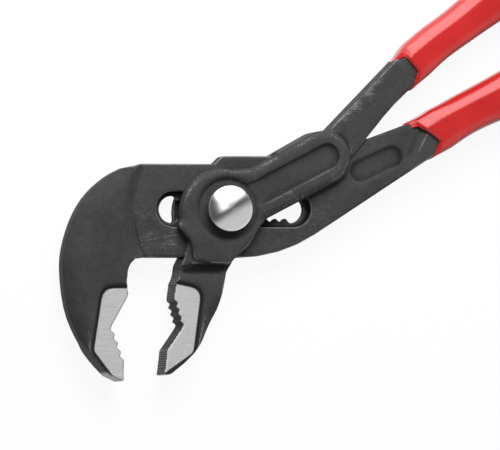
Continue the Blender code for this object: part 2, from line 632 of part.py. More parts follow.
def make_push_button():
    """Domed button with a sleeve that runs in the front cheek and hides the spring."""
    rim_top = BUTTON_UNDER + BUTTON_RIM
    base = BUTTON_RADIUS - BUTTON_EDGE
    sphere = (base ** 2 + BUTTON_DOME ** 2) / (2 * BUTTON_DOME)
    spread = math.asin(base / sphere)
    crown = rim_top + BUTTON_EDGE + BUTTON_DOME - sphere
    dome = [(sphere * math.sin(spread * k / 6), crown + sphere * math.cos(spread * k / 6)) for k in range(7)]
    sleeve_end = PLATE_HALF + RUN_GAP + PRESS_TRAVEL
    hole = SHANK_RADIUS + RUN_GAP / 2
    roof = BUTTON_UNDER + SHANK_GRIP + RUN_GAP
    profile = dome + [(BUTTON_RADIUS, rim_top), (BUTTON_RADIUS, BUTTON_UNDER), (SLEEVE_RADIUS, BUTTON_UNDER),
                      (SLEEVE_RADIUS, sleeve_end), (SLEEVE_BORE, sleeve_end), (SLEEVE_BORE, BUTTON_UNDER),
                      (hole, BUTTON_UNDER), (hole, roof), (0, roof)]
    return turned("push_button", profile, False, model)


def make_spring_seat():
    outer, inner = SLOT_HALF - 1.5 * RUN_GAP, SHANK_RADIUS + RUN_GAP
    profile = [(outer, SEAT_TOP), (outer, SEAT_BOTTOM), (inner, SEAT_BOTTOM), (inner, SEAT_TOP)]
    return turned("spring_seat", profile, True, model)


def make_return_spring():
    """One unbroken helix of wire between the seat and the button's roof."""
    low = SEAT_TOP + RUN_GAP + WIRE_RADIUS
    high = BUTTON_UNDER - RUN_GAP - WIRE_RADIUS
    count = round(SPRING_TURNS * 10) + 1
    turns = np.linspace(0, SPRING_TURNS, count)
    points = np.stack([SPRING_RADIUS * np.cos(2 * math.pi * turns), SPRING_RADIUS * np.sin(2 * math.pi * turns),
                       np.linspace(low, high, count)], axis=1)
    apart = np.linalg.norm(points[:, None] - points[None], axis=2)
    other_turn = np.abs(turns[:, None] - turns[None]) > 0.5
    print(f"return_spring: least gap to itself {1000 * (apart[other_turn].min() - 2 * WIRE_RADIUS):.2f} mm")
    curve = bpy.data.curves.new("return_spring", "CURVE")
    curve.dimensions = "3D"
    curve.bevel_depth = WIRE_RADIUS
    curve.bevel_resolution = 1
    curve.use_fill_caps = True
    spline = curve.splines.new("POLY")
    spline.points.add(count - 1)
    for point, place in zip(spline.points, points):
        point.co = (*place, 1)
    return curve_to_mesh(curve, "return_spring", model)


def empty(name, parent):
    frame = bpy.data.objects.new(name, None)
    model.objects.link(frame)
    frame.parent = parent
    return frame


def lowest_and_highest(parts):
    """Corners of the box round the finished pieces."""
    bpy.context.view_layer.update()
    graph = bpy.context.evaluated_depsgraph_get()
    corners = []
    for part in parts:
        mesh = part.evaluated_get(graph).to_mesh()
        points = np.empty(3 * len(mesh.vertices))
        mesh.vertices.foreach_get("co", points)
        corners.append(points.reshape(-1, 3))
    points = np.vstack(corners)
    return points.min(axis=0), points.max(axis=0)


def shade(part):
    part.data.shade_smooth()
    part.data.set_sharp_from_angle(angle=math.radians(35))


def build():
    global model, cutters
    for old in list(bpy.data.objects):
        bpy.data.objects.remove(old)
    model = bpy.data.collections.new("water_pump_pliers")
    cutters = bpy.data.collections.new("pliers_cutters")
    for collection in (model, cutters):
        bpy.context.scene.collection.children.link(collection)

    forged = material("black_forging", (0.055, 0.055, 0.058), 0.5, 0.7)
    chrome = material("polished_chrome", (0.78, 0.78, 0.79), 0.12, 1.0)
    steel = material("bare_steel", (0.45, 0.45, 0.46), 0.35, 1.0)
    rubber = material("red_dip", (0.60, 0.021, 0.019), 0.25, 0.0)

    root = empty("pliers", None)
    carriage = empty("pivot_carriage", root)
    fork = empty("fork_half", carriage)
    plunger = empty("plunger", carriage)
    pieces = [
        (make_slotted_lever(), root, forged),
        (grip("lower_grip", LOWER_LINE, LOWER_MOUTH, LOWER_TANG_HALF_WIDTH), root, rubber),
        (make_fork_lever(), fork, forged),
        (grip("upper_grip", UPPER_LINE, UPPER_MOUTH, UPPER_TANG_HALF_WIDTH), fork, rubber),
        (make_joint_bolt(), plunger, steel),
        (make_push_button(), plunger, chrome),
        (make_spring_seat(), carriage, steel),
        (make_return_spring(), carriage, steel),
    ]
    low, high = lowest_and_highest([piece for piece, parent, paint in pieces])
    for cutter in cutters.objects:
        cutter.parent = root
    for piece, parent, paint in pieces:
        piece.parent = parent
        piece.data.materials.append(paint)
        shade(piece)
    root.location = (-(low[0] + high[0]) / 2, -(low[1] + high[1]) / 2, -low[2])
    bpy.context.view_layer.update()
    print("pivot axis at", [round(value, 6) for value in root.matrix_world.translation])
    print("size", [round(value, 5) for value in high - low], "press travel", round(PRESS_TRAVEL, 6))


build()
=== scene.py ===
"""Push-button water pump pliers: forged levers, dipped grips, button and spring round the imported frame.

Lengths are metres in the frame of the CAD part. Points of the tool are written from its pivot, as in the
part's own source: +X along the slot towards the handles, +Y away from the jaw tips, +Z out of the button.
"""
import json
import math

import bmesh
import bpy
import numpy as np
from mathutils import Matrix, Vector


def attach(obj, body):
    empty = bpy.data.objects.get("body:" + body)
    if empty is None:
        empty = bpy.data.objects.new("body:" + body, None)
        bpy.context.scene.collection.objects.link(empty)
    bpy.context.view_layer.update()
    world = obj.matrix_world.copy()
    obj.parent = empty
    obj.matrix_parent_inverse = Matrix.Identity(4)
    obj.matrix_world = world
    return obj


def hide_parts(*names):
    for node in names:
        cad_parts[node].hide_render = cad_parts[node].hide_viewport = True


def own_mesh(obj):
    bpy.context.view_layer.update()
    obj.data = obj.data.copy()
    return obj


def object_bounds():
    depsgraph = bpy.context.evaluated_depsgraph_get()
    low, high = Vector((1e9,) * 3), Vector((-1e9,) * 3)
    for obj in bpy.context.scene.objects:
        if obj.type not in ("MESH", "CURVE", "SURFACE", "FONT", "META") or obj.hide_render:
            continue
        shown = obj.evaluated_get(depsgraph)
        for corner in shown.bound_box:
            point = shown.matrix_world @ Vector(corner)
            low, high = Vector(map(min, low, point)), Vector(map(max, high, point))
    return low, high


# Sizes of the tool; those that its solids have too are as in the part's source
JAW_HALF = 0.0056
HEAD_HALF = 0.0072
TANG_HALF = 0.0045
PLATE_HALF = 0.0030
FLAT_DEPTH = 0.0008
UPPER_LINE = [(0.0500, 0.0355), (0.0572, 0.0424), (0.0665, 0.0500), (0.0764, 0.0572), (0.0965, 0.0728),
              (0.1180, 0.0896), (0.1390, 0.1050), (0.1575, 0.1170)]
LOWER_LINE = [(0.0560, 0.0178), (0.0655, 0.0230), (0.0783, 0.0302), (0.1010, 0.0406), (0.1260, 0.0517),
              (0.1500, 0.0640), (0.1680, 0.0755)]
UPPER_MOUTH = 0.0105
LOWER_MOUTH = 0.0095
UPPER_TANG_HALF_WIDTH = 0.0040
LOWER_TANG_HALF_WIDTH = 0.0048
GRIP_WALL = 0.0014
GRIP_SWELL = 0.0036
GRIP_PALM_HALF = 0.0072
GRIP_TIP = 0.0060
SWELL_START = 0.12
SWELL_SPAN = 0.42
LARGE_FLAT = [(-0.0260, -0.0239), (-0.0387, -0.0239), (-0.0418, -0.0428), (-0.0337, -0.0533),
              (-0.0260, -0.0533)]
LARGE_FLAT_BENDS = [0.0034, 0.0010, 0.0001]
SMALL_FLAT = [(-0.0240, -0.0209), (-0.0081, -0.0243), (-0.01075, -0.0434), (-0.0220, -0.0512),
              (-0.0240, -0.0512)]
SMALL_FLAT_BENDS = [0.0034, 0.0012, 0.0001]
LARGE_BACK = [(-0.0230, 0.0137), (-0.0312, 0.0125), (-0.0366, 0.0098), (-0.0423, 0.0049), (-0.0464, -0.0011),
              (-0.0494, -0.0089), (-0.0507, -0.0174), (-0.0494, -0.0296), (-0.0459, -0.0387),
              (-0.0412, -0.0455), (-0.0370, -0.0501)]
SMALL_BACK = [(-0.0179, -0.0501), (-0.0135, -0.0466), (-0.0104, -0.0436), (-0.0075, -0.0397),
              (-0.0053, -0.0351), (-0.0031, -0.0306), (-0.0015, -0.0255)]
LARGE_BITES = [[(-0.0313, -0.0215), (-0.0308, -0.0253)], [(-0.0322, -0.0456), (-0.0324, -0.0510)]]
SMALL_BITES = [[(-0.0151, -0.0195), (-0.0163, -0.0229), (-0.0169, -0.0276)],
               [(-0.0192, -0.0428), (-0.0200, -0.0492)]]
FINE_PITCH = 0.00070
CROWN_WIDTH = 0.0062             # the backs of the jaws round off over this width
CROWN_DROP = 0.0034
CROWN_FADE = (-0.0260, 0.0110)   # where along the arm the large jaw's rounding starts, and over what length
SMALL_CROWN_FADE = (-0.0235, 0.0110)
CROWN_CLEAR = 0.0040             # the rounding stops this far from a ground flat
COVE_TOP = -0.0167               # hollow below the skirt: its top, middle, spread and depth
COVE_MIDDLE = -0.0187
COVE_SPREAD = 0.0020
COVE_DEPTH = 0.0014
TIP_START = -0.0488              # below this the tips are ground too
BOSS_CENTRE = (-0.0016, -0.0010)
BOSS_RADIUS = 0.0132
BOSS_SPAN = (190, 75)            # degrees of its outline, from the skirt to the raised arm
RAISED_ANGLE = 27.1
RAISED_START = (0.0125, 0.0087)  # where the raised arm's upper and lower edges leave the boss
RAISED_HALF_WIDTH = 0.0082
RAISED_TAPER = 0.0007
RAISED_REACH = 0.0424
HEAD_SOFT_WIDTH = 0.0024         # the head's outer edges round off over this width
HEAD_SOFT_DROP = 0.0017
COUNTERBORE_RADIUS = 0.0093
COUNTERBORE_SOFT = (0.0016, 0.0009)  # its edge rounds off over this width and by this drop
JAW_STEP_CENTRE = (-0.0012, -0.0015)
JAW_SLOPE = (0.0274, 0.0046)     # from there: where the arm starts to thicken into the jaw, and over what
JAW_CREASE_SHADE = (0.0271, 0.00035, 0.65)  # painted shade of a dark crease there: its radius, its spread and its depth of tone
CREASE_FADE = (0.0040, 0.0120)   # it fades above this height, over this length
HEAD_HIGHLIGHT = (0.0008, 0.00026, 0.43)  # painted highlight inside the head's edge, drawn as a bare rubbed line: its place, its spread and its lift
TANG_CREASE = [(0.0633, 0.0231), (0.0605, 0.0176)]
CREASE_HIGHLIGHT = (0.00026, 0.5)      # painted highlight along that crease, drawn as a bare rubbed line: its spread and its lift
TANG_SLOPE = 0.0030              # the lower lever thickens over this length before the crease
FACE_BAND = 0.0008               # its flat face is lifted there, with its edges down to this depth
FACE_START_X = 0.0500
BUTTON_RADIUS = 0.0070
BUTTON_UNDER = 0.0088
BUTTON_RIM_TOP = 0.0097
BUTTON_EDGE = 0.0006
BUTTON_DOME = 0.0022
SLEEVE_RADIUS = 0.0053
SLEEVE_BORE = 0.0044
SLEEVE_END = 0.0062
SHANK_HOLE = 0.0024
SHANK_ROOF = 0.0103
SPRING_RADIUS = 0.0037
SPRING_LOW = 0.0010
SPRING_HIGH = 0.0085
SPRING_TURNS = 3.5
WIRE_RADIUS = 0.0004
BUTTON_BENDS = 0.00035           # the corners of the turned button are bends of this radius
SPRING_CLOSING = 0.085           # how much flatter the spring's end turns are

# The photograph's camera, found from the tool's outlines
CAMERA_TURN = (-0.0385, 0.2580, 0.0031)
CAMERA_DISTANCE = 3.0
PIXELS_PER_METRE = 3305.0
PIVOT_PIXEL = (222.9, 209.55)
PHOTO_SIZE = (500, 450)
SENSOR = 36.0
CAMERA_FAR = 20.0

# Floor, lamps with place, width and power, and the room that glossy pieces see: two soft boxes with strips
FLOOR_SIZE = 2.5
FLOOR_GAP = 0.0003               # the floor lies this far below the part
FLOOR_GLOW = 0.93                # its share of plain white, for rays that see it straight or mirrored
LAMPS = [("key_lamp", (-0.06, 0.29, 0.41), 0.32, 3.95), ("fill_lamp", (0.55, -0.60, 0.75), 0.60, 0.12)]
LAMP_AIM = (0.0, 0.0, 0.01)
ROOM_LIGHT = 0.17
BOX_SIDE = (-0.545, 0.839, 0.0)  # across the gap between the two soft boxes
BOX_END = (-0.985, -0.174, 0.0)  # towards the end of the large one
STRIP_SIDE = (-0.17, 0.985, 0.0)  # towards the bright strip along its top
BOX_ALONG = (0.839, 0.545, 0.0)  # along the gap, towards the handles
LARGE_BOX = (0.00, 0.22, 0.95)   # along its direction: where it starts, where it is full, and its brightness
SMALL_BOX = (-0.10, -0.50, 0.62)
LOW_STRIP = (0.60, 0.85, 3.0)
TOP_STRIP = (0.30, 0.62, 2.0)
NEAR_STRIP_ACROSS = (-0.02, 0.12)
NEAR_STRIP_ALONG = (0.16, -0.06)
OPEN_END = (0.62, 0.30)
GAP_LIGHT = 0.10

# Surfaces: how fine they are, how the grips are drawn, and where the halves rub
FORGING_TRIANGLES = 190000
RELAX_ROUNDS = 3
LIFT_UNIT = 0.00033              # these turn a lift and a hollow into plain numbers
HOLLOW_UNIT = 0.0006
FLAT_SLOPE = 0.0018              # the forging slopes down to a ground flat over this length
MOUTH_BOW = 0.0036               # how much further back the grip's mouth lies on the flat faces
MOUTH_LEAD = 0.0022              # how far the drawn lip runs out before the plain mouth
GRIP_SQUARENESS = 4.6
GRIP_CHAMFER = 0.45              # how much a grip thins over the facet along its upper side
CHAMFER_START = 0.45             # where that facet starts, as a share of the half width
UPPER_FULLER = 0.0010            # how much fuller each grip is on its upper side, and over what length
LOWER_FULLER = 0.0004
FULLER_REACH = 0.0450
UPPER_LEADS = (0.0, 0.0024)      # how much further forward each lip runs on the upper and the lower side
LOWER_LEADS = (0.0034, 0.0022)
LEAD_STARTS = (-0.60, 0.45)      # where across the face those leads start, from the upper and the lower side
MOUTH_FLARE = 0.46               # how much wider the lip is there, as a share of that lead
FLARE_LENGTH = 0.0150
LIP_GROWTH = 0.0075              # the rubber reaches its full thickness this far behind the lip
# Rubbed places: x and y of the middle, reach and amount
RUB_PLACES = {"slotted_lever": [(-0.0243, -0.0088, 0.0040, 0.62), (-0.0175, -0.0101, 0.0040, 0.62),
                                (-0.0258, -0.0030, 0.0035, 0.5), (0.0300, -0.0040, 0.0090, 0.35)],
              "fork_lever": [(0.0370, 0.0290, 0.0030, 1.0), (0.0405, 0.0326, 0.0030, 1.2),
                             (0.0440, 0.0362, 0.0030, 1.2), (0.0475, 0.0400, 0.0030, 1.0),
                             (0.0200, 0.0040, 0.0050, 0.4), (0.0326, 0.0111, 0.0045, 0.4)]}
STEEL_SQUARENESS = 5.0
BOW_SPAN = 0.8                   # the mouth has bowed back fully at this sine of the angle round the grip
GRIP_FIT = 0.00015               # the rubber's bore is this much wider than the steel
LIP_LENGTH = 0.0011              # the lip curves from the steel to the outer skin over this length
LIP_THINNESS = 0.3               # the rubber's share of its full thickness at the lip
BEAD = (0.020, 0.0022, 0.0016)   # thicker bead behind the lip: its share of the size, place and spread
WAIST = (0.02, 0.0075, 0.0035)   # narrower ring behind the bead, in the same way
TANGENT_STEP = 0.0004
CAVITY_GAP = 0.0003              # the cavity ends this far behind the tang
CAVITY_ROWS = 24
GRIP_ROWS = 110
GRIP_COLUMNS = 120
LIP_ROWS = 10
TURN_COLUMNS = 96
WIRE_COLUMNS = 14
WIRE_ROWS_PER_TURN = 48
DOME_ROWS = 26
BOSS_POINTS = 12
END_POINTS = 19
WELD_DISTANCE = 1e-6
BEND_SHARE = 0.45                # a bend takes at most this share of the sides beside its corner

# Edges and tones of the forgings; pairs are where a change starts and over what span
RELAX_WEIGHT = 0.5               # a point moves this share of the way to its neighbours' mean in a round
CRISP_HOLD = 0.42                # and this much less where the net is crisp, at a ground flat
CRISP_EDGE = (-0.0010, 0.0008)
LIFT_BLUR = (14, 0.6)            # rounds and weight of the blur that lift is measured from
HOLLOW_BLUR = (50, 0.8)          # rounds and weight of the further blur for hollow, whose depth sets the painted shade
FACING_UP = (0.80, 0.15)         # height of the normal on a flat face
GROUND_EDGE = 0.0003             # a ground flat starts over this length
GROUND_REACH = 0.0014            # and its tone reaches this deep below the jaw's face
TIP_FADE = 0.0010
TIP_LEAN = (0.35, 0.25)          # how far the normal leans down on the ground tips
TIP_SHARE = 0.7
LIFT_FACING = (0.95, 0.10)       # flat faces, the counterbore and the edge of a ground flat have no lift
LIFT_PIVOT = (0.0105, 0.0015)
LIFT_FLAT = (-0.0012, 0.0010)
SLOPE_SHADE = 0.9                 # painted shade on the slope round a ground flat
SLOPE_HEIGHT = 0.6               # it starts at this share of the jaw's half thickness
BORE_EDGE = (0.0112, 0.0012)     # inside this radius the painted shade of the counterbore's hollow is weaker by a share
BORE_SHARE = 0.6
HEAD_FRONT = (0.5 * HEAD_HALF, 0.0008)  # height from which the head's painted highlight shows
LEVER_START = (0.0300, 0.0100)   # between these two the lower lever's edges are dimmer by a share
LEVER_STOP = (0.0590, 0.0020)
LEVER_DIM = 0.6
BITE_WIDTH = 0.0005
BITE_STEEP = (0.7, 0.2)          # height of the normal on a toothed face

# Colours; of two tones the darker is first
FORGING_TONES = ((0.030, 0.030, 0.031, 1), (0.055, 0.055, 0.055, 1))
# painted shade: near-black tone laid into hollows, creases and the slopes round the ground flats
HOLLOW_SHADE_COLOUR = (0.003, 0.003, 0.003, 1)
# bare metal of rubbed edges and scuffs, also used for painted highlights
BARE_AND_HIGHLIGHT_COLOUR = (0.24, 0.238, 0.232, 1)
RIDGE_COLOUR = (0.26, 0.26, 0.26, 1)
GROUND_TONES = ((0.48, 0.48, 0.48, 1), (0.60, 0.60, 0.598, 1))
CHROME_TONES = ((0.70, 0.70, 0.71, 1), (0.82, 0.82, 0.83, 1))
STEEL_TONES = ((0.34, 0.34, 0.35, 1), (0.55, 0.55, 0.55, 1))
RUBBER_TONES = ((0.43, 0.014, 0.014, 1), (0.50, 0.019, 0.018, 1))
FLOOR_COLOUR = (0.9, 0.9, 0.9, 1)
WHITE = (1, 1, 1, 1)

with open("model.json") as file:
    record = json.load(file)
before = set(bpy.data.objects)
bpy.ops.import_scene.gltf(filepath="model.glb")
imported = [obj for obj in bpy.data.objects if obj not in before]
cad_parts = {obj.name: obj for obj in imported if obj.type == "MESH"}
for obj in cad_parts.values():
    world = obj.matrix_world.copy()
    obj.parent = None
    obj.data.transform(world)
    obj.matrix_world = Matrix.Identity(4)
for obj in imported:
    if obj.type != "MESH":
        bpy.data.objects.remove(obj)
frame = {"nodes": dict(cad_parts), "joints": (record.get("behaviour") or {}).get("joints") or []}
cad_low, cad_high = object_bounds()
hinge = next(joint for joint in frame["joints"] if joint["name"] == "jaw_hinge")
PIVOT = np.array(hinge["pos_m"])


def new_object(name, mesh, paint):
    """Puts a finished mesh into the scene as a smooth-shaded piece with one material."""
    mesh.materials.clear()
    mesh.materials.append(paint)
    mesh.shade_smooth()
    piece = bpy.data.objects.new(name, mesh)
    bpy.context.scene.collection.objects.link(piece)
    return piece


def closed_grid(name, rows, start_pole, end_pole):
    """Closed surface from a grid of rows that run round it, with a fan of triangles to a pole at each end.

    rows is an array of (row, column, xyz); columns wrap round. Faces are turned to point outwards by the
    sign of the enclosed volume, which is a sixth of the sum of the triangles' triple products.
    """
    count, columns = rows.shape[:2]
    points = np.vstack([rows.reshape(-1, 3), [start_pole], [end_pole]])
    r, c = np.meshgrid(np.arange(count - 1), np.arange(columns), indexing="ij")
    after = (c + 1) % columns
    here, above = r * columns, (r + 1) * columns
    quads = np.stack([here + c, here + after, above + after, above + c], axis=-1).reshape(-1, 4)
    around = np.arange(columns)
    beyond = (around + 1) % columns
    last = (count - 1) * columns
    first_fan = np.stack([np.full(columns, count * columns), beyond, around], -1)
    last_fan = np.stack([np.full(columns, count * columns + 1), last + around, last + beyond], -1)
    triangles = np.vstack([quads[:, :3], quads[:, [0, 2, 3]], first_fan, last_fan])
    a, b, d = (points[triangles[:, k]] for k in range(3))
    if np.sum(a * np.cross(b, d)) < 0:
        quads, first_fan, last_fan = quads[:, ::-1], first_fan[:, ::-1], last_fan[:, ::-1]
    mesh = bpy.data.meshes.new(name)
    mesh.from_pydata(points.tolist(), [], quads.tolist() + first_fan.tolist() + last_fan.tolist())
    return mesh


def smooth_line(points, per_span=60):
    """Curve through every given point: cubic spans whose slopes are half the step between the neighbours."""
    points = np.array(points)
    knots = np.vstack([2 * points[0] - points[1], points, 2 * points[-1] - points[-2]])
    t = np.linspace(0, 1, per_span, endpoint=False)[None, :, None]
    a, b, c, d = (knots[k:len(knots) - 3 + k, None] for k in range(4))
    spans = b + 0.5 * t * (c - a + t * (2 * a - 5 * b + 4 * c - d + t * (3 * (b - c) + d - a)))
    return np.vstack([spans.reshape(-1, 2), points[-1:]])


def smooth_step(value):
    """0 below 0, 1 above 1, and a soft S between them."""
    value = np.clip(value, 0, 1)
    return value * value * (3 - 2 * value)


def rising(value, start, span):
    """Soft S that starts to rise at a value and is 1 a span above it."""
    return smooth_step((value - start) / span)


def falling(value, start, span):
    """Soft S that is 0 from a value upwards and 1 a span below it."""
    return smooth_step((start - value) / span)


def bell(value):
    """1 at 0, falling to both sides like a bell curve."""
    return np.exp(-value ** 2)


def superellipse(angle, squareness):
    """Sideways and upward shares of a superellipse: cosine and sine to a power, with their signs kept."""
    power = 2 / squareness
    across = np.sign(np.cos(angle)) * np.abs(np.cos(angle)) ** power
    up = np.sign(np.sin(angle)) * np.abs(np.sin(angle)) ** power
    return across, up


def dipped_grip(name, line, mouth, half_width, fuller, leads, paint):
    """Grip of dipped rubber: a surface over the distance along the handle's line and the angle round it.

    Each section is a superellipse with a slanted facet along its upper side, where it is fuller by a given
    length near the mouth. Its half sizes swell from the mouth to the palm by a soft S and close at the end as
    a sphere does. The mouth bows back on the flat faces, and on the sides it runs forward by its leads and
    flares. The lip is a quarter ellipse from the steel to the outer skin with a thicker bead behind it, and
    the steel's cavity runs back inside.
    """
    dense = smooth_line(line)
    reach = np.concatenate([[0], np.cumsum(np.linalg.norm(np.diff(dense, axis=0), axis=1))])
    end = reach[-1]
    angle = 2 * math.pi * (np.arange(GRIP_COLUMNS) + 0.5) / GRIP_COLUMNS
    across, up = superellipse(angle, GRIP_SQUARENESS)
    up *= 1 - GRIP_CHAMFER * np.clip((across - CHAMFER_START) / (1 - CHAMFER_START), 0, 1)
    steel_across, steel_up = superellipse(angle, STEEL_SQUARENESS)
    bow = MOUTH_BOW * smooth_step(np.abs(np.sin(angle)) / BOW_SPAN)
    forward = leads[0] * rising(across, LEAD_STARTS[0], 1 - LEAD_STARTS[0])
    forward += leads[1] * rising(-across, LEAD_STARTS[1], 1 - LEAD_STARTS[1])

    share = np.linspace(0, 1, GRIP_ROWS)[:-1, None]
    spread = 0.5 * share + 0.5 * (1 - np.cos(math.pi * share)) / 2
    front = mouth - MOUTH_LEAD + (bow - forward)[None, :]
    distance = front + LIP_LENGTH + (end - front - LIP_LENGTH) * spread

    def skin(at):
        """Half width and half height of the outer skin at a distance along the line."""
        part = (at - mouth) / (end - mouth)
        swell = rising(part, SWELL_START, SWELL_SPAN)
        dome = half_width + GRIP_SWELL
        closing = np.sqrt(np.clip(1 - np.clip(1 - (end - at) / dome, 0, 1) ** 2, 0, 1))
        bead = 1 + BEAD[0] * bell((at - front - BEAD[1]) / BEAD[2])
        waist = 1 - WAIST[0] * bell((at - front - WAIST[1]) / WAIST[2])
        ring = closing * bead * waist
        start_high = TANG_HALF + GRIP_WALL
        thin = LIP_THINNESS + (1 - LIP_THINNESS) * smooth_step((at - mouth + MOUTH_LEAD) / LIP_GROWTH)
        extra = fuller * (across > 0) * bell((at - mouth) / FULLER_REACH)
        flare = MOUTH_FLARE * forward * smooth_step(1 - (at - front) / FLARE_LENGTH)
        wide = (half_width + (GRIP_WALL + extra) * thin + GRIP_SWELL * swell + flare) * ring
        high = (start_high + (GRIP_PALM_HALF - start_high) * swell) * ring
        return wide, high

    def placed(at, sideways, upwards):
        """Points of the grid from their distance along the line and their offsets from it."""
        x, y = (np.interp(at, reach, dense[:, k]) for k in (0, 1))
        ahead = [np.interp(at + TANGENT_STEP, reach, dense[:, k]) for k in (0, 1)]
        behind = [np.interp(at - TANGENT_STEP, reach, dense[:, k]) for k in (0, 1)]
        tx, ty = ahead[0] - behind[0], ahead[1] - behind[1]
        length = np.hypot(tx, ty)
        return np.stack([x - ty / length * sideways, y + tx / length * sideways, upwards], axis=-1)

    wide, high = skin(distance)
    outer = placed(distance, wide * across, high * up)
    quarter = np.linspace(0, math.pi / 2, LIP_ROWS, endpoint=False)[:, None]
    lip_at = front + LIP_LENGTH * (1 - np.cos(quarter))
    lip_wide, lip_high = skin(front + LIP_LENGTH)
    steel_side = (half_width + GRIP_FIT) * steel_across
    steel_rise = (TANG_HALF + GRIP_FIT) * steel_up
    sideways = steel_side + (lip_wide * across - steel_side) * np.sin(quarter)
    upwards = steel_rise + (lip_high * up - steel_rise) * np.sin(quarter)
    lip = placed(lip_at, sideways, upwards)
    cavity_end = end - GRIP_TIP + CAVITY_GAP
    cavity_at = np.linspace(0, 1, CAVITY_ROWS, endpoint=False)[:, None]
    cavity_at = cavity_end + (front - cavity_end) * cavity_at
    cavity = placed(cavity_at, np.broadcast_to(steel_side, cavity_at.shape),
                    np.broadcast_to(steel_rise, cavity_at.shape))
    rows = np.concatenate([cavity, lip, outer]) + PIVOT
    inner_pole = cavity[0].mean(axis=0) + PIVOT
    outer_pole = np.array([*dense[-1], 0.0]) + PIVOT
    return new_object(name, closed_grid(name, rows, inner_pole, outer_pole), paint)


def rounded(profile, radius, steps=5):
    """Profile whose inner corners become bends: quadratic curves between points a radius from the corner."""
    profile = np.array(profile)
    radius = np.broadcast_to(radius, len(profile) - 2)[:, None]
    before, corner, after = profile[:-2], profile[1:-1], profile[2:]
    back, ahead = before - corner, after - corner
    back_length = np.linalg.norm(back, axis=1)[:, None]
    ahead_length = np.linalg.norm(ahead, axis=1)[:, None]
    start = corner + back / back_length * np.minimum(radius, BEND_SHARE * back_length)
    stop = corner + ahead / ahead_length * np.minimum(radius, BEND_SHARE * ahead_length)
    t = np.linspace(0, 1, steps)[None, :, None]
    bends = (1 - t) ** 2 * start[:, None] + 2 * t * (1 - t) * corner[:, None] + t ** 2 * stop[:, None]
    return np.vstack([profile[:1], bends.reshape(-1, 2), profile[-1:]])


def domed_button(paint):
    """Button turned round the pivot: a spherical cap on a short rim, and a sleeve below that hides the
    spring."""
    base = BUTTON_RADIUS - BUTTON_EDGE
    sphere = (base ** 2 + BUTTON_DOME ** 2) / (2 * BUTTON_DOME)
    top = BUTTON_RIM_TOP + BUTTON_EDGE + BUTTON_DOME
    polar = np.linspace(0, math.asin(base / sphere), DOME_ROWS)[1:]
    dome = np.stack([sphere * np.sin(polar), top - sphere + sphere * np.cos(polar)], axis=1)
    rim = [(BUTTON_RADIUS, BUTTON_RIM_TOP), (BUTTON_RADIUS, BUTTON_UNDER), (SLEEVE_RADIUS, BUTTON_UNDER),
           (SLEEVE_RADIUS, SLEEVE_END), (SLEEVE_BORE, SLEEVE_END), (SLEEVE_BORE, BUTTON_UNDER),
           (SHANK_HOLE, BUTTON_UNDER), (SHANK_HOLE, SHANK_ROOF), (SHANK_HOLE / 4, SHANK_ROOF)]
    profile = np.vstack([dome[:-1], rounded(np.vstack([dome[-1:], rim]), BUTTON_BENDS)])
    turn = 2 * math.pi * np.arange(TURN_COLUMNS) / TURN_COLUMNS
    radius, height = profile[:, :1], profile[:, 1:]
    rows = np.stack([radius * np.cos(turn), radius * np.sin(turn), height + 0 * turn], axis=-1) + PIVOT
    poles = [PIVOT + (0, 0, top), PIVOT + (0, 0, SHANK_ROOF)]
    return new_object("domed_button", closed_grid("domed_button", rows, *poles), paint)


def coil_spring(paint):
    """Round wire along a helix whose pitch closes at both ends, as on a wound compression spring."""
    turns = np.linspace(0, SPRING_TURNS, round(SPRING_TURNS * WIRE_ROWS_PER_TURN))
    share = turns / SPRING_TURNS
    rise = share - SPRING_CLOSING * np.sin(4 * math.pi * share) / 2
    low, high = SPRING_LOW + WIRE_RADIUS, SPRING_HIGH - WIRE_RADIUS
    theta = 2 * math.pi * turns
    outward = np.stack([np.cos(theta), np.sin(theta), 0 * theta], axis=1)
    path = SPRING_RADIUS * outward
    path[:, 2] = low + (high - low) * rise
    ahead = np.gradient(path, axis=0)
    ahead /= np.linalg.norm(ahead, axis=1)[:, None]
    upward = np.cross(ahead, outward)
    round_wire = 2 * math.pi * np.arange(WIRE_COLUMNS) / WIRE_COLUMNS
    rows = path[:, None] + WIRE_RADIUS * (outward[:, None] * np.cos(round_wire)[None, :, None]
                                          + upward[:, None] * np.sin(round_wire)[None, :, None])
    mesh = closed_grid("coil_spring", rows + PIVOT, path[0] + PIVOT, path[-1] + PIVOT)
    return new_object("coil_spring", mesh, paint)


def neighbour_mean(points, edges):
    """Mean of each point's neighbours along the mesh's edges."""
    total = np.zeros_like(points)
    for axis in range(3):
        total[:, axis] = np.bincount(edges[:, 0], points[edges[:, 1], axis], len(points))
        total[:, axis] += np.bincount(edges[:, 1], points[edges[:, 0], axis], len(points))
    return total / np.bincount(edges.ravel(), minlength=len(points))[:, None]


def settled(points, edges, rounds, weight):
    """Points moved in rounds by a weight towards the mean of their neighbours."""
    for _ in range(rounds):
        points = points + weight * (neighbour_mean(points, edges) - points)
    return points


def flat_distance(own, centre):
    """Distance from a centre, seen along the pivot."""
    return np.hypot(own[:, 0] - centre[0], own[:, 1] - centre[1])


def line_distance(points, line):
    """Least distance of flat points to the straight pieces of a line."""
    start = np.array(line)[:-1]
    side = np.diff(line, axis=0)
    offset = points[:, None] - start[None]
    share = np.clip(np.sum(offset * side, axis=2) / np.sum(side * side, axis=1), 0, 1)
    return np.linalg.norm(offset - share[:, :, None] * side, axis=2).min(axis=1)


def inside_distance(points, outline):
    """Signed distance of flat points to a closed outline, positive inside.

    The distance is the least to any side, and a point is inside where a ray from it crosses the outline an
    odd number of times.
    """
    start = np.array(outline)
    stop = np.roll(start, -1, axis=0)
    side = stop - start
    distance = line_distance(points, np.vstack([start, start[:1]]))
    x, y = points[:, :1], points[:, 1:]
    spans = (start[:, 1] > y) != (stop[:, 1] > y)
    crossing = start[:, 0] + (y - start[:, 1]) * side[:, 0] / np.where(side[:, 1] == 0, 1, side[:, 1])
    inside = np.sum(spans & (x < crossing), axis=1) % 2 == 1
    return np.where(inside, distance, -distance)


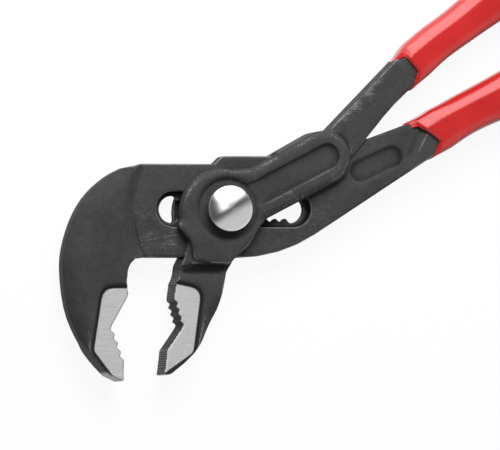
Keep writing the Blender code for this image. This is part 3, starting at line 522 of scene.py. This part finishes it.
def slotted_levels(own, near_flat):
    """Half thickness that the slotted lever may have.

    It grows by a soft S from the arm into the jaw with the distance from the joint, and from the lower lever
    into the handle with the distance from a slanted crease.
    """
    from_joint = flat_distance(own, JAW_STEP_CENTRE)
    jaw = PLATE_HALF + (JAW_HALF - PLATE_HALF) * rising(from_joint, *JAW_SLOPE)
    fade = falling(own[:, 0], *CROWN_FADE)
    jaw = np.minimum(jaw, crown(own, LARGE_BACK, fade, near_flat))
    return np.where(own[:, 0] < 0, jaw, PLATE_HALF + handle_rise(own))


def handle_rise(own):
    """How far the lower lever has thickened into the handle: with the square of the distance up its slope,
    which ends at the slanted crease."""
    start, stop = np.array(TANG_CREASE)
    side = np.array([start[1] - stop[1], stop[0] - start[0]]) / np.linalg.norm(stop - start)
    past = (own[:, :2] - start) @ side
    return (TANG_HALF - PLATE_HALF) * np.clip(past / TANG_SLOPE + 1, 0, 1) ** 2


def face_rise(own):
    """How far the lower lever's flat faces are lifted: by the handle's rise, up to the grip's mouth, and less
    where a point lies above or well below the flat face."""
    height = np.abs(own[:, 2])
    rise = handle_rise(own)
    above = np.maximum(PLATE_HALF + rise - height, 0)
    lifted = np.where(height > PLATE_HALF, above, rise * smooth_step((height - PLATE_HALF) / FACE_BAND + 1))
    first, second = np.array(LOWER_LINE[:2])
    ahead = (second - first) / np.linalg.norm(second - first)
    before_mouth = (own[:, :2] - first) @ ahead < LOWER_MOUTH
    return lifted * before_mouth * (own[:, 0] > FACE_START_X)


def crown(own, back, fade, near_flat):
    """Half thickness of a jaw that rounds off towards its back: it falls with the square of the nearness, and
    less so beside the ground flat."""
    near = np.clip(1 - line_distance(own[:, :2], smooth_line(back, 4)) / CROWN_WIDTH, 0, 1)
    return JAW_HALF - CROWN_DROP * fade * near ** 2 * smooth_step(-near_flat / CROWN_CLEAR)


def arc(degrees):
    """Points of the unit circle at the given angles."""
    angle = np.radians(degrees)
    return np.stack([np.cos(angle), np.sin(angle)], axis=1)


def head_edge():
    """Outer edge of the fork's head: round the boss, along the raised arm, round its end and back."""
    turn = math.radians(RAISED_ANGLE)
    along = np.array([math.cos(turn), math.sin(turn)])
    side = np.array([-math.sin(turn), math.cos(turn)])
    round_boss = BOSS_CENTRE + BOSS_RADIUS * arc(np.linspace(*BOSS_SPAN, BOSS_POINTS))
    upper = along * RAISED_START[0] + side * (RAISED_HALF_WIDTH - RAISED_TAPER)
    end = arc(RAISED_ANGLE + np.linspace(90, -90, END_POINTS))
    round_end = along * (RAISED_REACH - RAISED_HALF_WIDTH) + RAISED_HALF_WIDTH * end
    lower = along * RAISED_START[1] - side * RAISED_HALF_WIDTH
    return np.vstack([round_boss, upper, round_end, lower])


def fork_levels(own, near_flat):
    """Half thickness that the fork lever may have: that of its solid, apart from its jaw and its head.

    The jaw rounds off towards its back and has a hollow below the skirt, deepest in the middle and fading
    like a bell curve. The head rounds off towards its outer edge with the square of the nearness, and in
    front towards the counterbore.
    """
    fade = falling(own[:, 1], *SMALL_CROWN_FADE)
    cove = COVE_DEPTH * bell((own[:, 1] - COVE_MIDDLE) / COVE_SPREAD)
    near = np.clip(1 - line_distance(own[:, :2], head_edge()) / HEAD_SOFT_WIDTH, 0, 1)
    head = HEAD_HALF - HEAD_SOFT_DROP * near ** 2
    from_bore = (flat_distance(own, (0, 0)) - COUNTERBORE_RADIUS) / COUNTERBORE_SOFT[0]
    head -= COUNTERBORE_SOFT[1] * np.clip(1 - np.abs(from_bore), 0, 1) ** 2 * (own[:, 2] > 0)
    return np.where(own[:, 1] < COVE_TOP, crown(own, SMALL_BACK, fade, near_flat) - cove, head)


def even_net(name, node):
    """Even net of small faces over a CAD solid, made from a welded copy of it."""
    bm = bmesh.new()
    bm.from_mesh(frame["nodes"][node].data)
    bmesh.ops.remove_doubles(bm, verts=bm.verts, dist=WELD_DISTANCE)
    area = sum(face.calc_area() for face in bm.faces)
    welded = bpy.data.meshes.new(f"{name}_welded")
    bm.to_mesh(welded)
    bm.free()
    carrier = bpy.data.objects.new(f"{name}_carrier", welded)
    bpy.context.scene.collection.objects.link(carrier)
    net = carrier.modifiers.new("net", "REMESH")
    net.mode = "VOXEL"
    net.voxel_size = math.sqrt(2 * area / FORGING_TRIANGLES)
    graph = bpy.context.evaluated_depsgraph_get()
    mesh = bpy.data.meshes.new_from_object(carrier.evaluated_get(graph))
    bpy.data.objects.remove(carrier)
    bpy.data.meshes.remove(welded)
    mesh.name = name
    return mesh


def read_rows(elements, key, width, kind=float):
    """One row of numbers for each vertex or edge of a mesh."""
    values = np.empty(width * len(elements), dtype=kind)
    elements.foreach_get(key, values)
    return values.reshape(-1, width)


def pressed_height(own, node, near_flat, levels):
    """Height of each point after pressing: within the lever's levels, and sloping down to its ground flat."""
    shoulder = smooth_step(-near_flat / FLAT_SLOPE)
    beside_flat = JAW_HALF - FLAT_DEPTH * (1 - shoulder)
    level = np.minimum(levels(own, near_flat), np.where(near_flat > -FLAT_SLOPE, beside_flat, HEAD_HALF))
    height = own[:, 2]
    if node == "slotted_lever":
        height = height + np.sign(height) * face_rise(own)
    return np.clip(height, -level, level)


def measures_of(node, points, normals, edges, near_flat, bites):
    """Measures that go with the points of a forging.

    lift is how far a point stands out of its blurred surroundings, with painted highlights drawn as rubbed
    lines along the lower lever's crease and inside the head's edge; hollow is painted shade: how far a point
    lies below wider ones, the slope round a flat and a dark crease, whichever is darkest; ground, the mask of
    the ground flats; rub, where the two halves slide on each other; and bite, the finely toothed faces.
    """
    own = points - PIVOT
    blurred = settled(points, edges, *LIFT_BLUR)
    lift = np.sum((points - blurred) * normals, axis=1) / LIFT_UNIT
    # hollow: painted shade where a point lies below its wider surroundings
    blurred = settled(blurred, edges, *HOLLOW_BLUR)
    hollow = np.sum((blurred - points) * normals, axis=1) / HOLLOW_UNIT
    upright = np.abs(normals[:, 2])
    depth = np.abs(own[:, 2])
    from_pivot = flat_distance(own, (0, 0))
    facing = rising(upright, *FACING_UP)

    ground = smooth_step(near_flat / GROUND_EDGE) * facing
    ground *= smooth_step((depth - JAW_HALF + GROUND_REACH) / GROUND_EDGE)
    tip = falling(own[:, 1], TIP_START, TIP_FADE) * rising(-normals[:, 1], *TIP_LEAN)
    ground = np.maximum(ground, TIP_SHARE * tip)
    lift *= falling(upright, *LIFT_FACING)
    lift *= rising(from_pivot, *LIFT_PIVOT) * (1 - rising(near_flat, *LIFT_FLAT))
    rub = np.zeros(len(own))
    for x, y, reach, amount in RUB_PLACES[node]:
        rub = np.maximum(rub, amount * bell(flat_distance(own, (x, y)) / reach))
    rub *= facing
    # painted shade on the slope down to a ground flat
    on_slope = smooth_step(1 + near_flat / FLAT_SLOPE) * (near_flat < 0) * (depth > SLOPE_HEIGHT * JAW_HALF)
    hollow = np.clip(np.maximum(hollow, SLOPE_SHADE * on_slope), 0, 1)
    hollow *= 1 - BORE_SHARE * falling(from_pivot, *BORE_EDGE)
    if node == "fork_lever":
        # painted highlight inside the head's edge
        lift = np.maximum(lift, head_highlight(own))
    else:
        # painted shade in the crease where the arm thickens into the large jaw
        hollow = np.maximum(hollow, jaw_crease_shade(own) * facing)
        lift *= 1 - LEVER_DIM * rising(own[:, 0], *LEVER_START) * falling(own[:, 0], *LEVER_STOP)
        # painted highlight along the lower lever's crease, drawn as a bare rubbed line
        from_crease = line_distance(own[:, :2], TANG_CREASE) / CREASE_HIGHLIGHT[0]
        lift = np.maximum(lift, CREASE_HIGHLIGHT[1] * bell(from_crease) * facing)
    nearest = np.min([line_distance(own[:, :2], line) for line in bites], axis=0)
    bite = smooth_step(2 - nearest / BITE_WIDTH) * falling(upright, *BITE_STEEP)
    return {"lift": lift, "hollow": hollow, "ground": ground, "rub": rub, "bite": bite}


def head_highlight(own):
    """Lift of the painted highlight inside the edge of the fork's head, on its front, drawn as a bare rubbed
    line.
    """
    from_edge = line_distance(own[:, :2], head_edge())
    on_head = rising(own[:, 2], *HEAD_FRONT) * (own[:, 1] > COVE_TOP)
    return HEAD_HIGHLIGHT[2] * bell((from_edge - HEAD_HIGHLIGHT[0]) / HEAD_HIGHLIGHT[1]) * on_head


def jaw_crease_shade(own):
    """Painted shade of the dark crease where the arm starts to thicken into the large jaw."""
    from_joint = flat_distance(own, JAW_STEP_CENTRE)
    crease = JAW_CREASE_SHADE[2] * bell((from_joint - JAW_CREASE_SHADE[0]) / JAW_CREASE_SHADE[1])
    return crease * falling(own[:, 1], *CREASE_FADE) * (own[:, 0] < 0)


def forged_lever(name, node, flat, levels, bites, paint):
    """Forging with soft edges: an even net over the CAD solid, pressed down to its levels and then relaxed
    towards the mean of its neighbours. Round its ground flat the net slopes down, and stays crisper."""
    mesh = even_net(name, node)
    points = read_rows(mesh.vertices, "co", 3)
    edges = read_rows(mesh.edges, "vertices", 2, np.int32)
    own = points - PIVOT
    near_flat = inside_distance(own[:, :2], flat)
    points[:, 2] = PIVOT[2] + pressed_height(own, node, near_flat, levels)
    weight = RELAX_WEIGHT - CRISP_HOLD * rising(near_flat, *CRISP_EDGE)
    points = settled(points, edges, RELAX_ROUNDS, weight[:, None])
    mesh.vertices.foreach_set("co", points.ravel())
    mesh.update()
    normals = read_rows(mesh.vertices, "normal", 3)
    for label, values in measures_of(node, points, normals, edges, near_flat, bites).items():
        measure = mesh.attributes.new(label, "FLOAT", "POINT")
        measure.data.foreach_set("value", values.astype(np.float32))
    return new_object(name, mesh, paint)


class Nodes:
    """Short way to place and join the nodes of one node tree."""

    def __init__(self, tree):
        self.tree = tree

    def add(self, kind, values=None, **settings):
        """New node with its settings, and its inputs joined or filled."""
        node = self.tree.nodes.new(kind)
        for key, value in settings.items():
            setattr(node, key, value)
        for key, value in (values or {}).items():
            self.put(node.inputs[key], value)
        return node

    def put(self, socket, value):
        if isinstance(value, bpy.types.NodeSocket):
            self.tree.links.new(value, socket)
        else:
            socket.default_value = value

    def math(self, operation, *values):
        return self.add("ShaderNodeMath", dict(enumerate(values)), operation=operation).outputs[0]

    def times(self, first, second):
        return self.math("MULTIPLY", first, second)

    def plus(self, first, second):
        return self.math("ADD", first, second)

    def larger(self, first, second):
        return self.math("MAXIMUM", first, second)

    def dot(self, direction, axis):
        """How far a direction points along an axis."""
        node = self.add("ShaderNodeVectorMath", {0: direction, 1: axis}, operation="DOT_PRODUCT")
        return node.outputs["Value"]

    def measure(self, name):
        """Measure that goes with the points of a piece."""
        return self.add("ShaderNodeAttribute", attribute_name=name).outputs["Fac"]

    def step(self, value, low, high):
        """Soft S from 0 at low to 1 at high."""
        node = self.add("ShaderNodeMapRange", {"Value": value, "From Min": low, "From Max": high},
                        interpolation_type="SMOOTHSTEP")
        return node.outputs["Result"]

    def mix(self, share, first, second):
        """Share of the way from the first colour to the second."""
        node = self.add("ShaderNodeMix", data_type="RGBA")
        self.put(node.inputs[0], share)
        self.put(node.inputs[6], first)
        self.put(node.inputs[7], second)
        return node.outputs[2]

    def blend(self, share, first, second):
        """Share of the way from the first number to the second."""
        node = self.add("ShaderNodeMix", data_type="FLOAT")
        self.put(node.inputs[0], share)
        self.put(node.inputs[2], first)
        self.put(node.inputs[3], second)
        return node.outputs[0]

    def noise(self, place, scale, detail=3.0, rough=0.55):
        values = {"Vector": place, "Scale": scale, "Detail": detail, "Roughness": rough}
        return self.add("ShaderNodeTexNoise", values).outputs["Fac"]

    def stretched(self, place, scale, turn=0.0):
        """Coordinates turned about Z and then stretched, for streaks and grinding lines."""
        node = self.add("ShaderNodeMapping", {"Vector": place, "Rotation": (0, 0, turn), "Scale": scale})
        return node.outputs[0]

    def group(self, tree, **values):
        node = self.add("ShaderNodeGroup", node_tree=tree)
        for key, value in values.items():
            self.put(node.inputs[key], value)
        return node.outputs


def new_group(name, inputs, outputs):
    """Empty shader node group with its node helper and its input and output nodes.

    Its inputs are a place, and numbers with their usual values; its outputs are numbers.
    """
    tree = bpy.data.node_groups.new(name, "ShaderNodeTree")
    tree.interface.new_socket("Place", in_out="INPUT", socket_type="NodeSocketVector")
    for label, value in inputs.items():
        socket = tree.interface.new_socket(label, in_out="INPUT", socket_type="NodeSocketFloat")
        socket.default_value = value
    for label in outputs:
        tree.interface.new_socket(label, in_out="OUTPUT", socket_type="NodeSocketFloat")
    nodes = Nodes(tree)
    return tree, nodes, nodes.add("NodeGroupInput").outputs, nodes.add("NodeGroupOutput").inputs


def make_grain_group():
    """Fine grain of a hard surface: a height of two noises, and a slow change of tone."""
    inputs = {"Fine": 2600.0, "Coarse": 500.0}
    tree, n, given, out = new_group("surface_grain", inputs, ["Height", "Tone"])
    fine = n.noise(given["Place"], given["Fine"], 2.0)
    coarse = n.noise(given["Place"], given["Coarse"], 3.0)
    n.put(out["Height"], n.plus(n.times(fine, 0.6), n.times(coarse, 0.4)))
    n.put(out["Tone"], n.noise(given["Place"], 60.0, 4.0))
    return tree


def make_wear_and_highlight_group():
    """Rubbed edges: where the lift is high, broken up by speckle, and scattered scuffs where it isn't. The
    lift also holds painted highlights, which come out bare in the same way.
    """
    inputs = {"Lift": 0.0, "Edge": 0.5, "Amount": 0.0, "Speckle": 1500.0}
    tree, n, given, out = new_group("rubbed_edges", inputs, ["Rub", "Scuff"])
    speckle = n.noise(given["Place"], given["Speckle"], 3.0, 0.7)
    patch = n.noise(given["Place"], 130.0, 3.0)
    broken = n.plus(n.times(n.math("SUBTRACT", speckle, 0.5), 1.5),
                    n.times(n.math("SUBTRACT", patch, 0.5), 1.2))
    edge = n.plus(given["Lift"], n.times(broken, 0.55))
    low = n.times(given["Edge"], 0.55)
    n.put(out["Rub"], n.step(edge, low, given["Edge"]))
    streak = n.noise(n.stretched(given["Place"], (0.22, 1.0, 1.0), 0.12), 1500.0, 5.0, 0.8)
    fine = n.noise(given["Place"], n.times(given["Speckle"], 1.7), 2.0, 0.7)
    dots = n.plus(n.times(streak, 0.55), n.times(fine, 0.45))
    dots = n.plus(dots, n.times(given["Amount"], 0.16))
    place = n.plus(patch, n.times(given["Amount"], 0.25))
    n.put(out["Scuff"], n.times(n.step(dots, 0.56, 0.78), n.step(place, 0.42, 0.70)))
    return tree


def new_material(name):
    """Material with its node helper, its shader and the coordinates of the piece."""
    paint = bpy.data.materials.new(name)
    paint.use_nodes = True
    nodes = Nodes(paint.node_tree)
    shader = paint.node_tree.nodes["Principled BSDF"]
    place = nodes.add("ShaderNodeTexCoord").outputs["Object"]
    return paint, nodes, shader, place


def bump(nodes, shader, height, distance, strength):
    """Gives a shader the relief of a height."""
    node = nodes.add("ShaderNodeBump", {"Height": height, "Distance": distance, "Strength": strength})
    nodes.put(shader.inputs["Normal"], node.outputs[0])


def black_forging(grain, wear):
    """Dark phosphated forging: soft grain, rubbed bright edges with painted highlights drawn the same way,
    painted shade in hollows and creases, scuffs and jaw flats with grinding lines.
    """
    paint, n, shader, place = new_material("black_forging_worn")
    ground = n.measure("ground")
    skin = n.group(grain, Place=place, Fine=2400.0, Coarse=420.0)
    rubbed = n.group(wear, Place=place, Lift=n.measure("lift"), Edge=0.55, Amount=n.measure("rub"),
                     Speckle=1700.0)
    mottle = n.step(skin["Height"], 0.36, 0.64)
    tone = n.blend(0.5, n.step(skin["Tone"], 0.3, 0.7), mottle)
    # painted shade: hollows, creases and the slopes round the ground flats darken towards near black
    deep = n.step(n.measure("hollow"), 0.05, 0.8)
    dark = n.mix(n.times(deep, 0.85), n.mix(tone, *FORGING_TONES), HOLLOW_SHADE_COLOUR)
    # bare metal where edges are rubbed and scuffed, and painted highlights along a crease and the head's edge
    bare_and_highlight = n.larger(n.times(rubbed["Rub"], 0.65), n.times(rubbed["Scuff"], 0.85))
    colour = n.mix(bare_and_highlight, dark, BARE_AND_HIGHLIGHT_COLOUR)
    along = n.add("ShaderNodeSeparateXYZ", {0: place}).outputs["Y"]
    ridges = n.math("SINE", n.times(along, 2 * math.pi / FINE_PITCH))
    ridges = n.times(n.plus(n.times(ridges, 0.5), 0.5), n.measure("bite"))
    colour = n.mix(n.times(ridges, 0.8), colour, RIDGE_COLOUR)
    lines = n.noise(n.stretched(place, (0.045, 1.0, 0.3), -0.05), 4200.0, 3.0, 0.7)
    flat_colour = n.mix(n.step(lines, 0.3, 0.7), *GROUND_TONES)
    n.put(shader.inputs["Base Color"], n.mix(ground, colour, flat_colour))
    n.put(shader.inputs["Metallic"], n.blend(ground, n.times(bare_and_highlight, 0.6), 0.35))
    rough = n.blend(bare_and_highlight, n.blend(skin["Tone"], 0.66, 0.84), 0.50)
    n.put(shader.inputs["Roughness"], n.blend(ground, rough, n.blend(lines, 0.32, 0.46)))
    shader.inputs["Specular IOR Level"].default_value = 0.22
    relief = n.blend(ground, skin["Height"], n.times(lines, 0.6))
    bump(n, shader, n.plus(relief, n.times(ridges, 3.0)), 0.00012, 0.55)
    return paint


def polished_chrome(grain):
    """Polished chrome with faint turning rings round the pivot."""
    paint, n, shader, place = new_material("polished_chrome_turned")
    centred = n.add("ShaderNodeMapping", {"Vector": place, "Location": (-PIVOT[0], -PIVOT[1], 0)}).outputs[0]
    flat = n.add("ShaderNodeVectorMath", {0: centred, 1: (1, 1, 0)}, operation="MULTIPLY").outputs[0]
    radius = n.add("ShaderNodeVectorMath", {0: flat}, operation="LENGTH").outputs["Value"]
    rings = n.add("ShaderNodeTexNoise", {"W": radius, "Scale": 9000.0, "Detail": 2.0}, noise_dimensions="1D")
    skin = n.group(grain, Place=place, Fine=1800.0, Coarse=300.0)
    shade = n.step(n.plus(rings.outputs["Fac"], n.math("SUBTRACT", skin["Tone"], 0.5)), 0.2, 0.8)
    n.put(shader.inputs["Base Color"], n.mix(shade, *CHROME_TONES))
    n.put(shader.inputs["Roughness"], n.blend(shade, 0.27, 0.19))
    shader.inputs["Metallic"].default_value = 1.0
    tangent = n.add("ShaderNodeTangent", direction_type="RADIAL", axis="Z")
    n.put(shader.inputs["Tangent"], tangent.outputs[0])
    shader.inputs["Anisotropic"].default_value = 0.6
    shader.inputs["Anisotropic Rotation"].default_value = 0.25
    bump(n, shader, rings.outputs["Fac"], 0.00002, 0.4)
    return paint


def machined_steel(grain):
    """Plain machined steel with a fine grain and darker patches."""
    paint, n, shader, place = new_material("machined_steel")
    skin = n.group(grain, Place=place, Fine=3200.0, Coarse=700.0)
    n.put(shader.inputs["Base Color"], n.mix(skin["Tone"], *STEEL_TONES))
    n.put(shader.inputs["Roughness"], n.blend(skin["Height"], 0.28, 0.45))
    shader.inputs["Metallic"].default_value = 1.0
    bump(n, shader, skin["Height"], 0.00006, 0.4)
    return paint


def red_dip(grain):
    """Glossy dipped rubber: a deep red with a slow change of tone and a slightly wavy skin."""
    paint, n, shader, place = new_material("red_dip_glossy")
    skin = n.group(grain, Place=place, Fine=900.0, Coarse=160.0)
    tone = n.step(skin["Tone"], 0.3, 0.7)
    n.put(shader.inputs["Base Color"], n.mix(tone, *RUBBER_TONES))
    n.put(shader.inputs["Roughness"], n.blend(skin["Height"], 0.20, 0.32))
    shader.inputs["Coat Weight"].default_value = 0.6
    shader.inputs["Coat Roughness"].default_value = 0.12
    bump(n, shader, skin["Tone"], 0.00030, 0.3)
    return paint


def lay_floor():
    """Pale floor that keeps a soft shadow, nearly plain white where it is seen straight or mirrored."""
    mesh = bpy.data.meshes.new("floor")
    corners = [(-FLOOR_SIZE, -FLOOR_SIZE, 0), (FLOOR_SIZE, -FLOOR_SIZE, 0),
               (FLOOR_SIZE, FLOOR_SIZE, 0), (-FLOOR_SIZE, FLOOR_SIZE, 0)]
    mesh.from_pydata(corners, [], [(0, 1, 2, 3)])
    floor = bpy.data.objects.new("floor", mesh)
    floor.location.z = cad_low.z - FLOOR_GAP
    bpy.context.scene.collection.objects.link(floor)
    paint = bpy.data.materials.new("pale_floor")
    paint.use_nodes = True
    n = Nodes(paint.node_tree)
    shader = paint.node_tree.nodes["Principled BSDF"]
    shader.inputs["Base Color"].default_value = FLOOR_COLOUR
    shader.inputs["Roughness"].default_value = 0.9
    glow = n.add("ShaderNodeEmission", {"Color": WHITE, "Strength": 1.0})
    path = n.add("ShaderNodeLightPath").outputs
    seen = n.larger(n.larger(path["Is Camera Ray"], path["Is Glossy Ray"]), path["Is Transmission Ray"])
    share = n.times(seen, FLOOR_GLOW)
    both = n.add("ShaderNodeMixShader", {0: share, 1: shader.outputs[0], 2: glow.outputs[0]})
    output = paint.node_tree.nodes["Material Output"]
    n.put(output.inputs["Surface"], both.outputs[0])
    mesh.materials.append(paint)


def light_room():
    """White room that glossy pieces see as two soft boxes with a dark gap between them. The large one has
    bright strips along its far, upper and near sides and stops at its end."""
    world = bpy.data.worlds.new("white_room")
    world.use_nodes = True
    bpy.context.scene.world = world
    n = Nodes(world.node_tree)
    sky = world.node_tree.nodes["Background"]
    sky.inputs["Color"].default_value = WHITE
    path = n.add("ShaderNodeLightPath").outputs
    direction = n.add("ShaderNodeTexCoord").outputs["Generated"]
    tilt = n.dot(direction, BOX_SIDE)

    def soft_box(height, start, full, brightness):
        """Light that starts at one height along a direction and is full at another."""
        return n.times(n.step(height, start, full), brightness)

    top_strip = soft_box(n.dot(direction, STRIP_SIDE), *TOP_STRIP)
    along = n.step(n.dot(direction, BOX_ALONG), *NEAR_STRIP_ALONG)
    near_strip = n.times(n.step(tilt, *NEAR_STRIP_ACROSS), along)
    strips = n.larger(n.larger(soft_box(tilt, *LOW_STRIP), top_strip), near_strip)
    open_end = n.step(n.dot(direction, BOX_END), *OPEN_END)
    large = n.times(n.plus(soft_box(tilt, *LARGE_BOX), strips), open_end)
    boxes = n.plus(n.plus(large, soft_box(tilt, *SMALL_BOX)), GAP_LIGHT)
    seen = n.larger(path["Is Camera Ray"], path["Is Transmission Ray"])
    n.put(sky.inputs["Strength"], n.blend(path["Is Glossy Ray"], n.blend(seen, ROOM_LIGHT, 1.0), boxes))


def hang_lamps():
    """Two soft square lamps that aim at the tool; glossy pieces see the room's soft boxes instead."""
    for name, place, wide, power in LAMPS:
        lamp = bpy.data.lights.new(name, "AREA")
        lamp.shape = "SQUARE"
        lamp.size = wide
        lamp.energy = power
        holder = bpy.data.objects.new(name, lamp)
        holder.location = place
        holder.visible_glossy = False
        holder.rotation_euler = (Vector(LAMP_AIM) - Vector(place)).to_track_quat("-Z", "Y").to_euler()
        bpy.context.scene.collection.objects.link(holder)


def place_camera():
    """Camera of the photograph: turned about the tool, so that the pivot lands on its pixel."""
    turn = Vector(CAMERA_TURN)
    basis = Matrix.Rotation(turn.length, 3, turn.normalized())
    right, up, back = (Vector(basis[k]) for k in range(3))
    across = (PHOTO_SIZE[0] / 2 - PIVOT_PIXEL[0]) / PIXELS_PER_METRE
    above = (PIVOT_PIXEL[1] - PHOTO_SIZE[1] / 2) / PIXELS_PER_METRE
    target = Vector(PIVOT) + right * across + up * above
    lens = bpy.data.cameras.new("photo_camera")
    lens.sensor_width = SENSOR
    lens.lens = SENSOR * PIXELS_PER_METRE * CAMERA_DISTANCE / PHOTO_SIZE[0]
    lens.clip_end = CAMERA_FAR
    camera = bpy.data.objects.new("photo_camera", lens)
    facing = Matrix((right, up, back)).transposed().to_4x4()
    camera.matrix_world = Matrix.Translation(target + back * CAMERA_DISTANCE) @ facing
    bpy.context.scene.collection.objects.link(camera)
    bpy.context.scene.camera = camera


def dress():
    """Makes every piece and puts it on its body in place of its CAD node; the list gives each its body, node
    and material slot.
    """
    grain, wear = make_grain_group(), make_wear_and_highlight_group()
    forging, chrome = black_forging(grain, wear), polished_chrome(grain)
    steel, rubber = machined_steel(grain), red_dip(grain)
    spring = coil_spring(steel)
    slotted = forged_lever("slotted_forging", "slotted_lever", rounded(LARGE_FLAT, LARGE_FLAT_BENDS),
                           slotted_levels, LARGE_BITES, forging)
    fork = forged_lever("fork_forging", "fork_lever", rounded(SMALL_FLAT, SMALL_FLAT_BENDS),
                        fork_levels, SMALL_BITES, forging)
    lower = dipped_grip("lower_dipped_grip", LOWER_LINE, LOWER_MOUTH, LOWER_TANG_HALF_WIDTH,
                        LOWER_FULLER, LOWER_LEADS, rubber)
    upper = dipped_grip("upper_dipped_grip", UPPER_LINE, UPPER_MOUTH, UPPER_TANG_HALF_WIDTH,
                        UPPER_FULLER, UPPER_LEADS, rubber)
    pieces = [(slotted, "slotted_half", "slotted_lever", "black_forging"),
              (fork, "fork_half", "fork_lever", "black_forging"),
              (lower, "slotted_half", "lower_grip", "red_dip"),
              (upper, "fork_half", "upper_grip", "red_dip"),
              (domed_button(chrome), "plunger", "push_button", "polished_chrome"),
              (spring, "pivot_carriage", "return_spring", "bare_steel")]
    for piece, body, node, slot in pieces:
        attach(piece, body)
        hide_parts(node)
    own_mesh(spring)
    for node in ("joint_bolt", "spring_seat"):
        part = frame["nodes"][node]
        part.data.materials.clear()
        part.data.materials.append(steel)


dress()
place_camera()
lay_floor()
light_room()
hang_lamps()
bpy.context.scene.view_settings.view_transform = "Standard"
